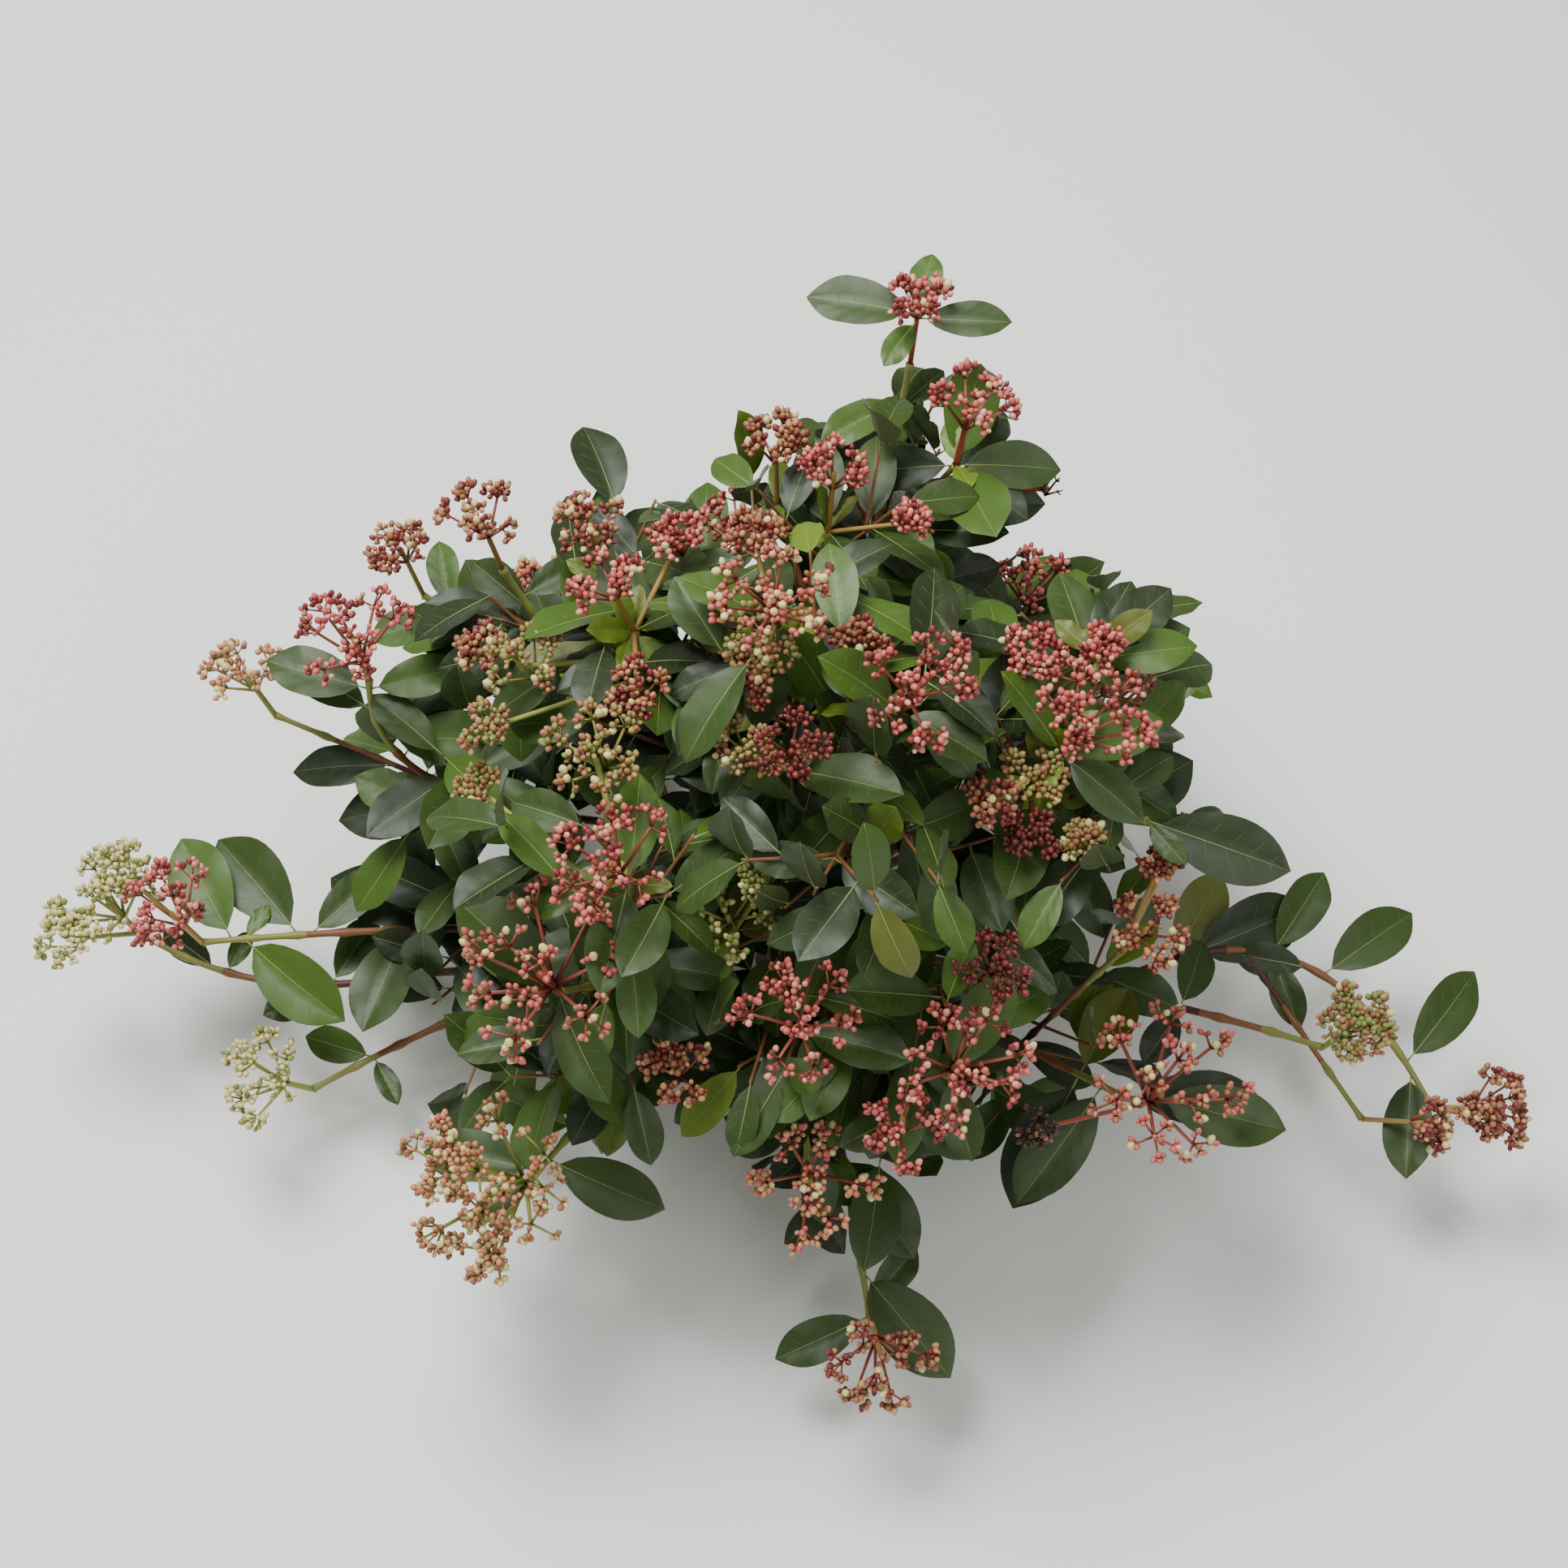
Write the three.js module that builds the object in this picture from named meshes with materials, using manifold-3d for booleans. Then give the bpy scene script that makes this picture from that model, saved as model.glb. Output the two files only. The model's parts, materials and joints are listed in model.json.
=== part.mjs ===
// A laurustinus shrub in bud, as a short stem, bare boughs and leafy masses.
// Millimetres, +Z up. The origin is the middle of the flat cut under the stem, at ground level.

import * as THREE from 'three';
import { mergeVertices } from 'three/addons/utils/BufferGeometryUtils.js';
import Module from 'manifold-3d';

const wasm = await Module();
wasm.setup();

// Driving dimensions. A share is a part of the length that it's named with.

const clearance = 0.3;
const mergeDistance = 0.002;
const groundMargin = 4;
const cellMargin = 0.4;
const obstacleStep = 3;

const stem = {
  height: 92,
  footRadius: 12,
  topRadius: 9,
  flare: 7,
  flareHeight: 11,
  lean: 8,
  sides: 12,
  steps: 6,
  stepCrowding: 1.5,
};

const bough = {
  baseRadius: 4.8,
  sideBaseRadius: 3.5,
  tipRadius: 2.2,
  share: 0.48,
  sides: 6,
  steps: 4,
};

const twig = {
  baseRadius: 2.4,
  tipRadius: 1.7,
  sideRadius: 1.15,
  sides: 3,
  steps: 3,
  sideSteps: 2,
  testLines: 8,
  room: 2,
};

const leaf = {
  length: 64,
  widthShare: 0.56,
  widestShare: 0.42,
  foldShare: 0.05,
  droopShare: 0.1,
  rootHalf: 0.7,
  rootOffset: 0.3,
  freeShare: 0.05,
  sizes: [1, 0.78],
  youngSize: 0.68,
};

// A head of buds: heights and the depth between rays as shares of its spread

const umbel = {
  rays: 5,
  heightShare: 0.5,
  domeShare: 0.22,
  valleyShare: 0.5,
  coreShare: 0.6,
  blockShare: 0.85,
  stalkLength: 40,
  tilt: 0.3,
};

// How twigs and leaves grow. Angles are in degrees, and a pair of numbers is a range.

const habit = {
  firstSeed: 1000,
  seedStep: 37,
  leavesPerMass: 6,
  leavesPerTip: 5,
  leavesPerSideTwig: 2,
  internode: 27,
  firstNodeShare: 0.6,
  forkShare: 0.68,
  heartShare: 0.7,
  turnSway: [-30, 30],
  leafOpening: [52, 72],
  leafLift: [-0.1, 0.14],
  levelling: 0.7,
  faceTipwards: 0.6,
  faceSway: [-0.3, 0.3],
  leafScale: [0.9, 1.05],
  pairScale: [0.88, 1.1],
  sideTwigLength: 54,
  sideTwigScale: [0.7, 1.25],
  sideTwigSpread: 50,
  sideTwigLift: 0.25,
  sideTwigSway: [-23, 23],
  sideLeafScale: [0.8, 1],
  endLeafSize: 0.9,
  middleShare: 0.55,
  axilOffset: 9,
  endOffset: 4,
};

const up = new THREE.Vector3(0, 0, 1);
const uprightLimit = 0.2;
const straightLimit = 1;

// Tips of the shoots: azimuth in degrees from +X towards +Y, seen from above, reach from the stem
// and height above the ground. A head of buds has its spread, and tilt leans its stalk outwards.

function head(azimuth, reach, height, spread, tilt = umbel.tilt) {
  return { azimuth, reach, height, spread, tilt };
}

function tuft(azimuth, reach, height) {
  return { azimuth, reach, height, spread: 0 };
}

// Every shoot is one bare bough with one mass of foliage. It leaves the stem or another bough at a
// share of that limb's length. Arch lifts the middle of its way and bow pushes it sideways.

const shoots = [
  { name: 'crown', from: 'stem', at: 1, arch: 0, bow: 8,
    tips: [head(250, 26, 430, 30), head(271, 88, 395, 19), head(311, 95, 428, 32), tuft(292, 118, 345)] },
  { name: 'low_left', from: 'stem', at: 0.3, arch: 30, bow: 0, tips: [head(188, 346, 150, 29)] },
  { name: 'left', from: 'stem', at: 0.62, arch: -35, bow: 0,
    tips: [head(168, 238, 280, 34, 0.1), head(168, 307, 220, 24)] },
  { name: 'left_front', from: 'stem', at: 0.72, arch: -30, bow: 0,
    tips: [head(233, 205, 305, 48), head(236, 155, 355, 35), head(256, 127, 290, 26)] },
  { name: 'front', from: 'stem', at: 0.9, arch: -25, bow: 0,
    tips: [head(272, 182, 290, 34), head(294, 213, 268, 38), head(303, 188, 300, 18),
      head(273, 223, 180, 34, 0.8)] },
  { name: 'lower_right', from: 'stem', at: 0.55, arch: -10, bow: 0,
    tips: [head(318, 265, 200, 46), head(325, 223, 285, 20)] },
  { name: 'right_shoot', from: 'stem', at: 0.28, arch: 55, bow: 0,
    tips: [head(340, 418, 98, 24, 1.4), head(337, 384, 94, 16, 1.4)] },
  { name: 'right_top', from: 'stem', at: 0.8, arch: -35, bow: 0,
    tips: [head(338, 161, 375, 34), tuft(355, 155, 365), tuft(335, 200, 320)] },
  { name: 'top_shoot', from: 'stem', at: 0.76, arch: -20, bow: 0,
    tips: [head(70, 204, 388, 17), head(55, 168, 368, 25)] },
  { name: 'back_low', from: 'stem', at: 0.34, arch: 25, bow: 0, tips: [head(98, 215, 150, 26)] },
  { name: 'back_right', from: 'stem', at: 0.58, arch: 15, bow: 0, tips: [head(22, 208, 190, 26)] },
  { name: 'upper_left', from: 'left', at: 0.3, arch: -10, bow: 0,
    tips: [head(144, 207, 288, 24), head(147, 260, 230, 18)] },
  { name: 'far_left', from: 'low_left', at: 0.5, arch: 0, bow: 55, tips: [head(184, 386, 122, 33)] },
  { name: 'low_left_green', from: 'low_left', at: 0.35, arch: 30, bow: 0,
    tips: [head(202, 316, 84, 30, 0.7)] },
  { name: 'inner_left', from: 'crown', at: 0.3, arch: -15, bow: 0,
    tips: [head(163, 95, 365, 20), head(141, 135, 330, 22), tuft(128, 150, 300)] },
  { name: 'crown_back', from: 'crown', at: 0.55, arch: -10, bow: 0,
    tips: [head(76, 99, 368, 19), head(93, 126, 350, 20)] },
  { name: 'right_leaves', from: 'right_top', at: 0.5, arch: 0, bow: 0, tips: [tuft(8, 178, 290)] },
  { name: 'lower_left', from: 'left_front', at: 0.35, arch: 10, bow: 0,
    tips: [head(236, 268, 172, 46, 0.7)] },
  { name: 'bottom_shoot', from: 'front', at: 0.3, arch: 20, bow: 0, tips: [head(280, 290, 92, 33, 1.4)] },
  { name: 'right_dome', from: 'right_shoot', at: 0.6, arch: 20, bow: 0, tips: [head(341, 330, 132, 23)] },
  { name: 'back_left_low', from: 'back_low', at: 0.4, arch: 15, bow: 0, tips: [head(130, 225, 140, 26)] },
  { name: 'back_right_low', from: 'back_right', at: 0.35, arch: 10, bow: 0,
    tips: [head(50, 225, 145, 26)] },
];

const bark = new THREE.MeshStandardMaterial({ color: 0x5b3a2c, roughness: 0.85, metalness: 0 });
const foliage = new THREE.MeshStandardMaterial({ color: 0x43592f, roughness: 0.5, metalness: 0 });
bark.flatShading = true;
foliage.flatShading = true;

// Numbers drawn in a fixed order, the same at each run

function seededRandom(seed) {
  let state = seed;
  return (low, high) => {
    state = (state * 1664525 + 1013904223) % 4294967296;
    return low + ((high - low) * state) / 4294967296;
  };
}

// Closed geometry to solid and back. Corners nearer than mergeDistance become one.

function solid(geometry) {
  geometry.deleteAttribute('normal');
  geometry.deleteAttribute('uv');
  const merged = mergeVertices(geometry, mergeDistance);
  return new wasm.Manifold(new wasm.Mesh({
    numProp: 3,
    vertProperties: merged.attributes.position.array,
    triVerts: new Uint32Array(merged.index.array),
  }));
}

function geometryOf(body) {
  const made = body.getMesh();
  const geometry = new THREE.BufferGeometry();
  geometry.setAttribute('position', new THREE.BufferAttribute(made.vertProperties, 3));
  geometry.setIndex(new THREE.BufferAttribute(made.triVerts, 1));
  return geometry;
}

function namedMesh(name, body, material) {
  const geometry = geometryOf(body);
  geometry.computeVertexNormals();
  const mesh = new THREE.Mesh(geometry, material);
  mesh.name = name;
  return mesh;
}

// The largest outer body alone: without loose scraps, and with the hollows that joining seals filled

function oneBody(joined) {
  const settled = solid(geometryOf(joined));
  return settled.decompose().reduce((best, piece) => (piece.volume() > best.volume() ? piece : best));
}

// Stem: a turned profile with a root flare, which leans more towards its top

function stemRadius(height) {
  const taper = THREE.MathUtils.lerp(stem.footRadius, stem.topRadius, height / stem.height);
  return taper + stem.flare * Math.exp(-height / stem.flareHeight);
}

function stemAxis(height) {
  return new THREE.Vector3(stem.lean * (height / stem.height) ** 2, 0, height);
}

function stemSolid(thickening) {
  const profile = [new THREE.Vector2(0, 0)];
  for (let step = 0; step <= stem.steps; step++) {
    const height = stem.height * (step / stem.steps) ** stem.stepCrowding;
    profile.push(new THREE.Vector2(stemRadius(height) + thickening, height));
  }
  profile.push(new THREE.Vector2(0, stem.height));
  const turned = new THREE.LatheGeometry(profile, stem.sides).rotateX(Math.PI / 2);
  const place = turned.attributes.position;
  for (let i = 0; i < place.count; i++) {
    place.setX(i, place.getX(i) + stemAxis(place.getZ(i)).x);
  }
  return solid(turned);
}

// A limb is a tapered cylinder bent along part of a flat curve

function limbSolid(way, start, end, startRadius, endRadius, sides, steps) {
  const across = new THREE.Vector3()
    .crossVectors(way.v1.clone().sub(way.v0), way.v2.clone().sub(way.v0));
  if (across.length() < straightLimit) {
    across.crossVectors(way.v2.clone().sub(way.v0), new THREE.Vector3(1, 0, 0));
  }
  across.normalize();
  const geometry = new THREE.CylinderGeometry(1, 1, 1, sides, steps);
  const place = geometry.attributes.position;
  for (let i = 0; i < place.count; i++) {
    const share = place.getY(i) + 0.5;
    const t = THREE.MathUtils.lerp(start, end, share);
    const radius = THREE.MathUtils.lerp(startRadius, endRadius, share);
    const tangent = way.getTangent(t);
    const outward = new THREE.Vector3().crossVectors(tangent, across);
    const point = way.getPoint(t)
      .addScaledVector(outward, place.getX(i) * radius)
      .addScaledVector(across, place.getZ(i) * radius);
    place.setXYZ(i, point.x, point.y, point.z);
  }
  return solid(geometry);
}

function twigSolid(line, radius) {
  const geometry = new THREE.CylinderGeometry(radius, radius, line.distance(), twig.sides);
  const along = line.delta(new THREE.Vector3()).normalize();
  geometry.applyQuaternion(new THREE.Quaternion().setFromUnitVectors(new THREE.Vector3(0, 1, 0), along));
  geometry.translate(...line.getCenter(new THREE.Vector3()).toArray());
  return solid(geometry);
}

// A leaf is a three-sided cone laid across the midrib. Its point and the middle of its base are
// drawn out to the two edges, and its rim to the tip and the two sides of the root inside the twig.

function leafSolid(blade) {
  const geometry = new THREE.ConeGeometry(1, 1, 3);
  const place = geometry.attributes.position;
  for (let i = 0; i < place.count; i++) {
    const [x, z] = [place.getX(i), place.getZ(i)];
    const isEdge = Math.hypot(x, z) < 0.5;
    const isTip = z > 0.5;
    if (isEdge) {
      const edge = Math.sign(place.getY(i)) * (blade.length * leaf.widthShare) / 2;
      place.setXYZ(i, blade.length * leaf.widestShare, edge, blade.length * leaf.foldShare);
    } else if (isTip) {
      place.setXYZ(i, blade.length, 0, -blade.length * leaf.droopShare);
    } else {
      place.setXYZ(i, 0, 0, -Math.sign(x) * leaf.rootHalf);
    }
  }
  geometry.applyMatrix4(new THREE.Matrix4()
    .makeBasis(blade.along, blade.side, blade.face)
    .setPosition(blade.root));
  return solid(geometry);
}

// A head of buds is a cone stood on its point, with its rim drawn in between the rays

function headSolid(cluster) {
  const count = umbel.rays * 2;
  const height = cluster.spread * umbel.heightShare;
  const geometry = new THREE.ConeGeometry(1, 1, count).rotateX(-Math.PI / 2);
  const place = geometry.attributes.position;
  for (let i = 0; i < place.count; i++) {
    const [x, y] = [place.getX(i), place.getY(i)];
    const isRim = Math.hypot(x, y) > 0.5;
    const isValley = isRim && Math.round(Math.atan2(x, y) / (2 * Math.PI / count)) % 2 !== 0;
    const isPoint = !isRim && place.getZ(i) < 0;
    const out = cluster.spread * (isValley ? umbel.valleyShare : 1);
    const rise = isPoint ? 0 : isRim ? height : height + cluster.spread * umbel.domeShare;
    place.setXYZ(i, x * out, y * out, rise - height / 2);
  }
  const turn = new THREE.Quaternion().setFromUnitVectors(up, cluster.along);
  geometry.applyQuaternion(turn);
  geometry.translate(...cluster.centre.toArray());
  return solid(geometry);
}

// Ways of the shoots, each a quadratic curve from its limb to the foot of its stalk

function tipPlace(tip) {
  const azimuth = THREE.MathUtils.degToRad(tip.azimuth);
  return new THREE.Vector3(tip.reach * Math.cos(azimuth), tip.reach * Math.sin(azimuth), tip.height);
}

function stalkDirection(tip) {
  const azimuth = THREE.MathUtils.degToRad(tip.azimuth);
  return new THREE.Vector3(tip.tilt * Math.cos(azimuth), tip.tilt * Math.sin(azimuth), 1).normalize();
}

function wayTo(start, tip, arch, bow) {
  const end = tipPlace(tip);
  if (tip.spread > 0) end.addScaledVector(stalkDirection(tip), -umbel.stalkLength);
  const middle = start.clone().add(end).multiplyScalar(0.5);
  const leftward = new THREE.Vector3().crossVectors(up, end.clone().sub(start)).normalize();
  middle.addScaledVector(up, arch).addScaledVector(leftward, bow);
  return new THREE.QuadraticBezierCurve3(start, middle, end);
}

function startOf(shoot) {
  if (shoot.from === 'stem') {
    const height = stem.height * shoot.at + (shoot.at === 1 ? clearance : 0);
    return stemAxis(height);
  }
  return shootNamed(shoot.from).way.getPoint(bough.share * shoot.at);
}

function shootNamed(name) {
  return shoots.find((shoot) => shoot.name === name);
}

for (const shoot of shoots) {
  shoot.way = wayTo(startOf(shoot), shoot.tips[0], shoot.arch, shoot.bow);
  shoot.baseRadius = shoot.from === 'stem' ? bough.baseRadius : bough.sideBaseRadius;
  shoot.sideWays = shoot.tips.slice(1).map((tip) => wayTo(shoot.way.getPoint(habit.forkShare), tip, 0, 0));
  shoot.heart = shoot.tips
    .reduce((sum, tip) => sum.add(tipPlace(tip)), shoot.way.getPoint(habit.heartShare))
    .divideScalar(shoot.tips.length + 1);
}

// What a leaf or twig has to stay clear of: points along the limbs and the leading twigs

const obstacles = [];

function addObstacles(owner, way, start, end, radius) {
  const count = Math.ceil((way.getLength() * (end - start)) / obstacleStep);
  for (let i = 0; i <= count; i++) {
    obstacles.push({ owner, radius, point: way.getPoint(start + ((end - start) * i) / count) });
  }
}

for (const shoot of shoots) {
  addObstacles('bough', shoot.way, 0, bough.share, shoot.baseRadius);
  addObstacles(shoot.name, shoot.way, bough.share, 1, twig.baseRadius);
  for (const way of shoot.sideWays) addObstacles(shoot.name, way, 0, 1, twig.baseRadius);
  for (const tip of shoot.tips.filter((each) => each.spread > 0)) {
    obstacles.push({ owner: shoot.name, radius: tip.spread * umbel.blockShare, point: tipPlace(tip) });
    const foot = tipPlace(tip).addScaledVector(stalkDirection(tip), -umbel.stalkLength);
    addObstacles(shoot.name, new THREE.LineCurve3(foot, tipPlace(tip)), 0, 1, twig.baseRadius);
  }
}

function staysInCell(shoot, point) {
  return shoots.every((other) => {
    if (other === shoot) return true;
    const apart = other.heart.distanceTo(shoot.heart);
    const depth = (point.distanceToSquared(other.heart) - point.distanceToSquared(shoot.heart)) / (2 * apart);
    return depth > cellMargin;
  });
}

function leafCorners(blade) {
  const widest = blade.root.clone().addScaledVector(blade.along, blade.length * leaf.widestShare)
    .addScaledVector(blade.face, blade.length * leaf.foldShare);
  const tip = blade.root.clone().addScaledVector(blade.along, blade.length)
    .addScaledVector(blade.face, -blade.length * leaf.droopShare);
  const halfWidth = (blade.length * leaf.widthShare) / 2;
  return {
    root: blade.root.clone().lerp(tip, leaf.freeShare),
    tip,
    left: widest.clone().addScaledVector(blade.side, halfWidth),
    right: widest.clone().addScaledVector(blade.side, -halfWidth),
  };
}

function bladeHalves({ root, tip, left, right }) {
  return [new THREE.Triangle(root, left, tip), new THREE.Triangle(root, tip, right)];
}

function bladeLines({ root, tip, left, right }) {
  return [[root, left], [left, tip], [tip, right], [right, root], [root, tip]]
    .map(([from, to]) => new THREE.Line3(from, to));
}

function lineCrosses(line, half) {
  const length = line.distance();
  const ray = new THREE.Ray(line.start, line.delta(new THREE.Vector3()).divideScalar(length));
  const hit = ray.intersectTriangle(half.a, half.b, half.c, false, new THREE.Vector3());
  return hit !== null && hit.distanceTo(line.start) < length;
}

function anyCross(lines, halves) {
  return lines.some((line) => halves.some((half) => lineCrosses(line, half)));
}

function leafFits(shoot, blade) {
  const corners = Object.values(leafCorners(blade));
  if (!corners.every((corner) => corner.z > groundMargin && staysInCell(shoot, corner))) return false;
  const thickness = blade.length * leaf.foldShare;
  return obstacles.every((obstacle) => {
    if (obstacle.owner === shoot.name) return true;
    const offset = obstacle.point.clone().sub(blade.root);
    const along = offset.dot(blade.along);
    const halfWidth = (blade.length * leaf.widthShare) / 2 + obstacle.radius;
    const height = offset.dot(blade.face) + leaf.droopShare * along;
    return along < -obstacle.radius || along > blade.length + obstacle.radius
      || Math.abs(offset.dot(blade.side)) > halfWidth
      || Math.abs(height) > obstacle.radius + thickness;
  });
}

// Whether a leaf passes through a twig, a head or an earlier leaf of its own mass

function meetsOwnMass(shape, kept, lines, heads) {
  const nearest = new THREE.Vector3();
  const meetsHead = heads.some((cluster) => shape.halves.some((half) => (
    half.closestPointToPoint(cluster.centre, nearest).distanceTo(cluster.centre)
      < cluster.spread * umbel.coreShare)));
  const meetsLeaf = kept.some((other) => anyCross(shape.edges, other.halves)
    || anyCross(other.edges, shape.halves));
  return meetsHead || meetsLeaf || anyCross(lines, shape.halves);
}

// Leaves and side twigs that have room, each leaf smaller where it has none at its full size.
// A side twig is kept only where enough of its leaves have room.

function thinned(shoot, grown, leadingLines) {
  const limit = habit.leavesPerMass + habit.leavesPerTip * shoot.tips.length;
  const lines = [...leadingLines];
  const kept = [];
  const sideTwigs = [];
  const roomFor = (blades, near) => blades.reduce((shapes, blade) => {
    const others = [...kept, ...shapes];
    if (others.length >= limit) return shapes;
    const fitting = leaf.sizes
      .map((size) => bladeShape({ ...blade, length: blade.length * size }))
      .find((shape) => leafFits(shoot, shape.blade) && !meetsOwnMass(shape, others, near, grown.heads));
    return fitting ? [...shapes, fitting] : shapes;
  }, []);
  kept.push(...roomFor(grown.leaves, lines));
  for (const each of [...grown.sideTwigs].reverse()) {
    if (!twigFits(shoot, each.line) || anyCross([each.line], kept.flatMap((shape) => shape.halves))) continue;
    const shapes = roomFor(each.leaves, [...lines, each.line]);
    if (shapes.length < habit.leavesPerSideTwig) continue;
    kept.push(...shapes);
    lines.push(each.line);
    sideTwigs.push(each);
  }
  return { blades: kept.map((shape) => shape.blade), sideTwigs };
}

function bladeShape(blade) {
  const corners = leafCorners(blade);
  return { blade, halves: bladeHalves(corners), edges: bladeLines(corners) };
}

function twigFits(shoot, line) {
  if (![line.start, line.end].every((end) => end.z > groundMargin && staysInCell(shoot, end))) return false;
  const nearest = new THREE.Vector3();
  return obstacles.every((obstacle) => {
    if (obstacle.owner === shoot.name) return true;
    line.closestPointToPoint(obstacle.point, true, nearest);
    return nearest.distanceTo(obstacle.point) > obstacle.radius + twig.room;
  });
}

// A direction square to the axis: the highest one, turned about the axis

function squareTo(axis, turn) {
  const square = up.clone().addScaledVector(axis, -axis.z);
  if (square.length() < uprightLimit) square.set(1, 0, 0).addScaledVector(axis, -axis.x);
  return square.normalize().applyAxisAngle(axis, turn);
}

// Opposite leaves at one node. Each pair stands square to the last, and the blades turn to the light.

function leafPair(node, axis, turn, length, random) {
  const sideways = squareTo(axis, turn);
  return [1, -1].map((way) => {
    const opening = THREE.MathUtils.degToRad(random(...habit.leafOpening));
    const along = axis.clone().multiplyScalar(Math.cos(opening))
      .addScaledVector(sideways, way * Math.sin(opening));
    along.z = along.z * habit.levelling + random(...habit.leafLift);
    along.normalize();
    const sway = new THREE.Vector3(random(...habit.faceSway), random(...habit.faceSway), 0);
    const face = up.clone().addScaledVector(axis, habit.faceTipwards).add(sway);
    face.addScaledVector(along, -face.dot(along)).normalize();
    const side = new THREE.Vector3().crossVectors(face, along);
    const root = node.clone().addScaledVector(along, leaf.rootOffset);
    return { root, along, side, face, length: length * random(...habit.pairScale) };
  });
}

// A mass of foliage: the leading twig goes on from its bough, with pairs of leaves, side twigs
// between them and a head of buds or a tuft of young leaves at each tip

function growAlong(way, start, tip, random, grown) {
  const nodes = Math.round((way.getLength() * (1 - start)) / habit.internode);
  for (let i = 1; i <= nodes; i++) {
    const share = (i - 1 + habit.firstNodeShare) / (nodes - 1 + habit.firstNodeShare);
    const t = THREE.MathUtils.lerp(start, 1, share);
    const [node, axis] = [way.getPoint(t), way.getTangent(t)];
    const turn = (i * Math.PI) / 2 + THREE.MathUtils.degToRad(random(...habit.turnSway));
    grown.leaves.push(...leafPair(node, axis, turn, leaf.length * random(...habit.leafScale), random));
    if (i < nodes) {
      const axil = node.clone().addScaledVector(axis, habit.axilOffset);
      grown.sideTwigs.push(sideTwig(axil, axis, turn, random), sideTwig(axil, axis, turn + Math.PI, random));
    }
  }
  const end = way.getPoint(1);
  if (tip.spread > 0) {
    grown.stalks.push(new THREE.Line3(end, tipPlace(tip)));
    grown.heads.push({ centre: tipPlace(tip), along: stalkDirection(tip), spread: tip.spread });
  } else {
    grown.leaves.push(...leafPair(end, way.getTangent(1), 0, leaf.length * leaf.youngSize, random));
  }
}

function sideTwig(axil, axis, turn, random) {
  const spread = THREE.MathUtils.degToRad(habit.sideTwigSpread);
  const sway = THREE.MathUtils.degToRad(random(...habit.sideTwigSway));
  const along = axis.clone().multiplyScalar(Math.cos(spread))
    .addScaledVector(squareTo(axis, turn + sway), Math.sin(spread));
  along.z += habit.sideTwigLift;
  along.normalize();
  const length = habit.sideTwigLength * random(...habit.sideTwigScale);
  const end = axil.clone().addScaledVector(along, length);
  const middle = axil.clone().addScaledVector(along, length * habit.middleShare);
  const last = end.clone().addScaledVector(along, -habit.endOffset);
  const size = leaf.length * random(...habit.sideLeafScale);
  return {
    line: new THREE.Line3(axil, end),
    leaves: [
      ...leafPair(middle, along, turn, size, random),
      ...leafPair(last, along, turn + Math.PI / 2, size * habit.endLeafSize, random),
    ],
  };
}

function massSolid(shoot, index) {
  const random = seededRandom(habit.firstSeed + habit.seedStep * index);
  const grown = { leaves: [], sideTwigs: [], stalks: [], heads: [] };
  const start = bough.share + clearance / shoot.way.getLength();
  growAlong(shoot.way, start, shoot.tips[0], random, grown);
  shoot.sideWays.forEach((way, k) => growAlong(way, 0, shoot.tips[k + 1], random, grown));

  const leadingLines = [
    ...grown.stalks,
    ...linesAlong(shoot.way, start),
    ...shoot.sideWays.flatMap((way) => linesAlong(way, 0)),
  ];
  const { blades, sideTwigs } = thinned(shoot, grown, leadingLines);
  const straight = [...grown.stalks, ...sideTwigs.map((each) => each.line)];
  const parts = [
    limbSolid(shoot.way, start, 1, twig.baseRadius, twig.tipRadius, twig.sides, twig.steps),
    ...shoot.sideWays.map((way) => (
      limbSolid(way, 0, 1, twig.tipRadius, twig.sideRadius, twig.sides, twig.sideSteps))),
    ...straight.map((line) => twigSolid(line, twig.sideRadius)),
    ...blades.map(leafSolid),
    ...grown.heads.map(headSolid),
  ];
  return oneBody(parts.reduce((whole, each) => whole.add(each)));
}

function linesAlong(way, start) {
  const pointAt = (i) => way.getPoint(start + ((1 - start) * i) / twig.testLines);
  return Array.from({ length: twig.testLines }, (_, i) => new THREE.Line3(pointAt(i), pointAt(i + 1)));
}

// A bough starts at the axis of the limb that bears it and is cut back to lie clear of its bark

function boughSolid(shoot) {
  const parent = shoot.from === 'stem'
    ? stemSolid(clearance)
    : wholeBough(shootNamed(shoot.from), clearance);
  return oneBody(wholeBough(shoot, 0).subtract(parent));
}

function wholeBough(shoot, thickening) {
  const base = shoot.baseRadius + thickening;
  const tip = bough.tipRadius + thickening;
  return limbSolid(shoot.way, 0, bough.share, base, tip, bough.sides, bough.steps);
}

const shrub = new THREE.Group();
shrub.add(namedMesh('stem', stemSolid(0), bark));
shoots.forEach((shoot, index) => {
  shrub.add(namedMesh(`bough_${shoot.name}`, boughSolid(shoot), bark));
  shrub.add(namedMesh(`mass_${shoot.name}`, massSolid(shoot, index), foliage));
});

export default shrub;
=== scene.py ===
"""A laurustinus shrub in bud: bark, twigs, leaves and heads of buds, grown around the packed frame."""

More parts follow.
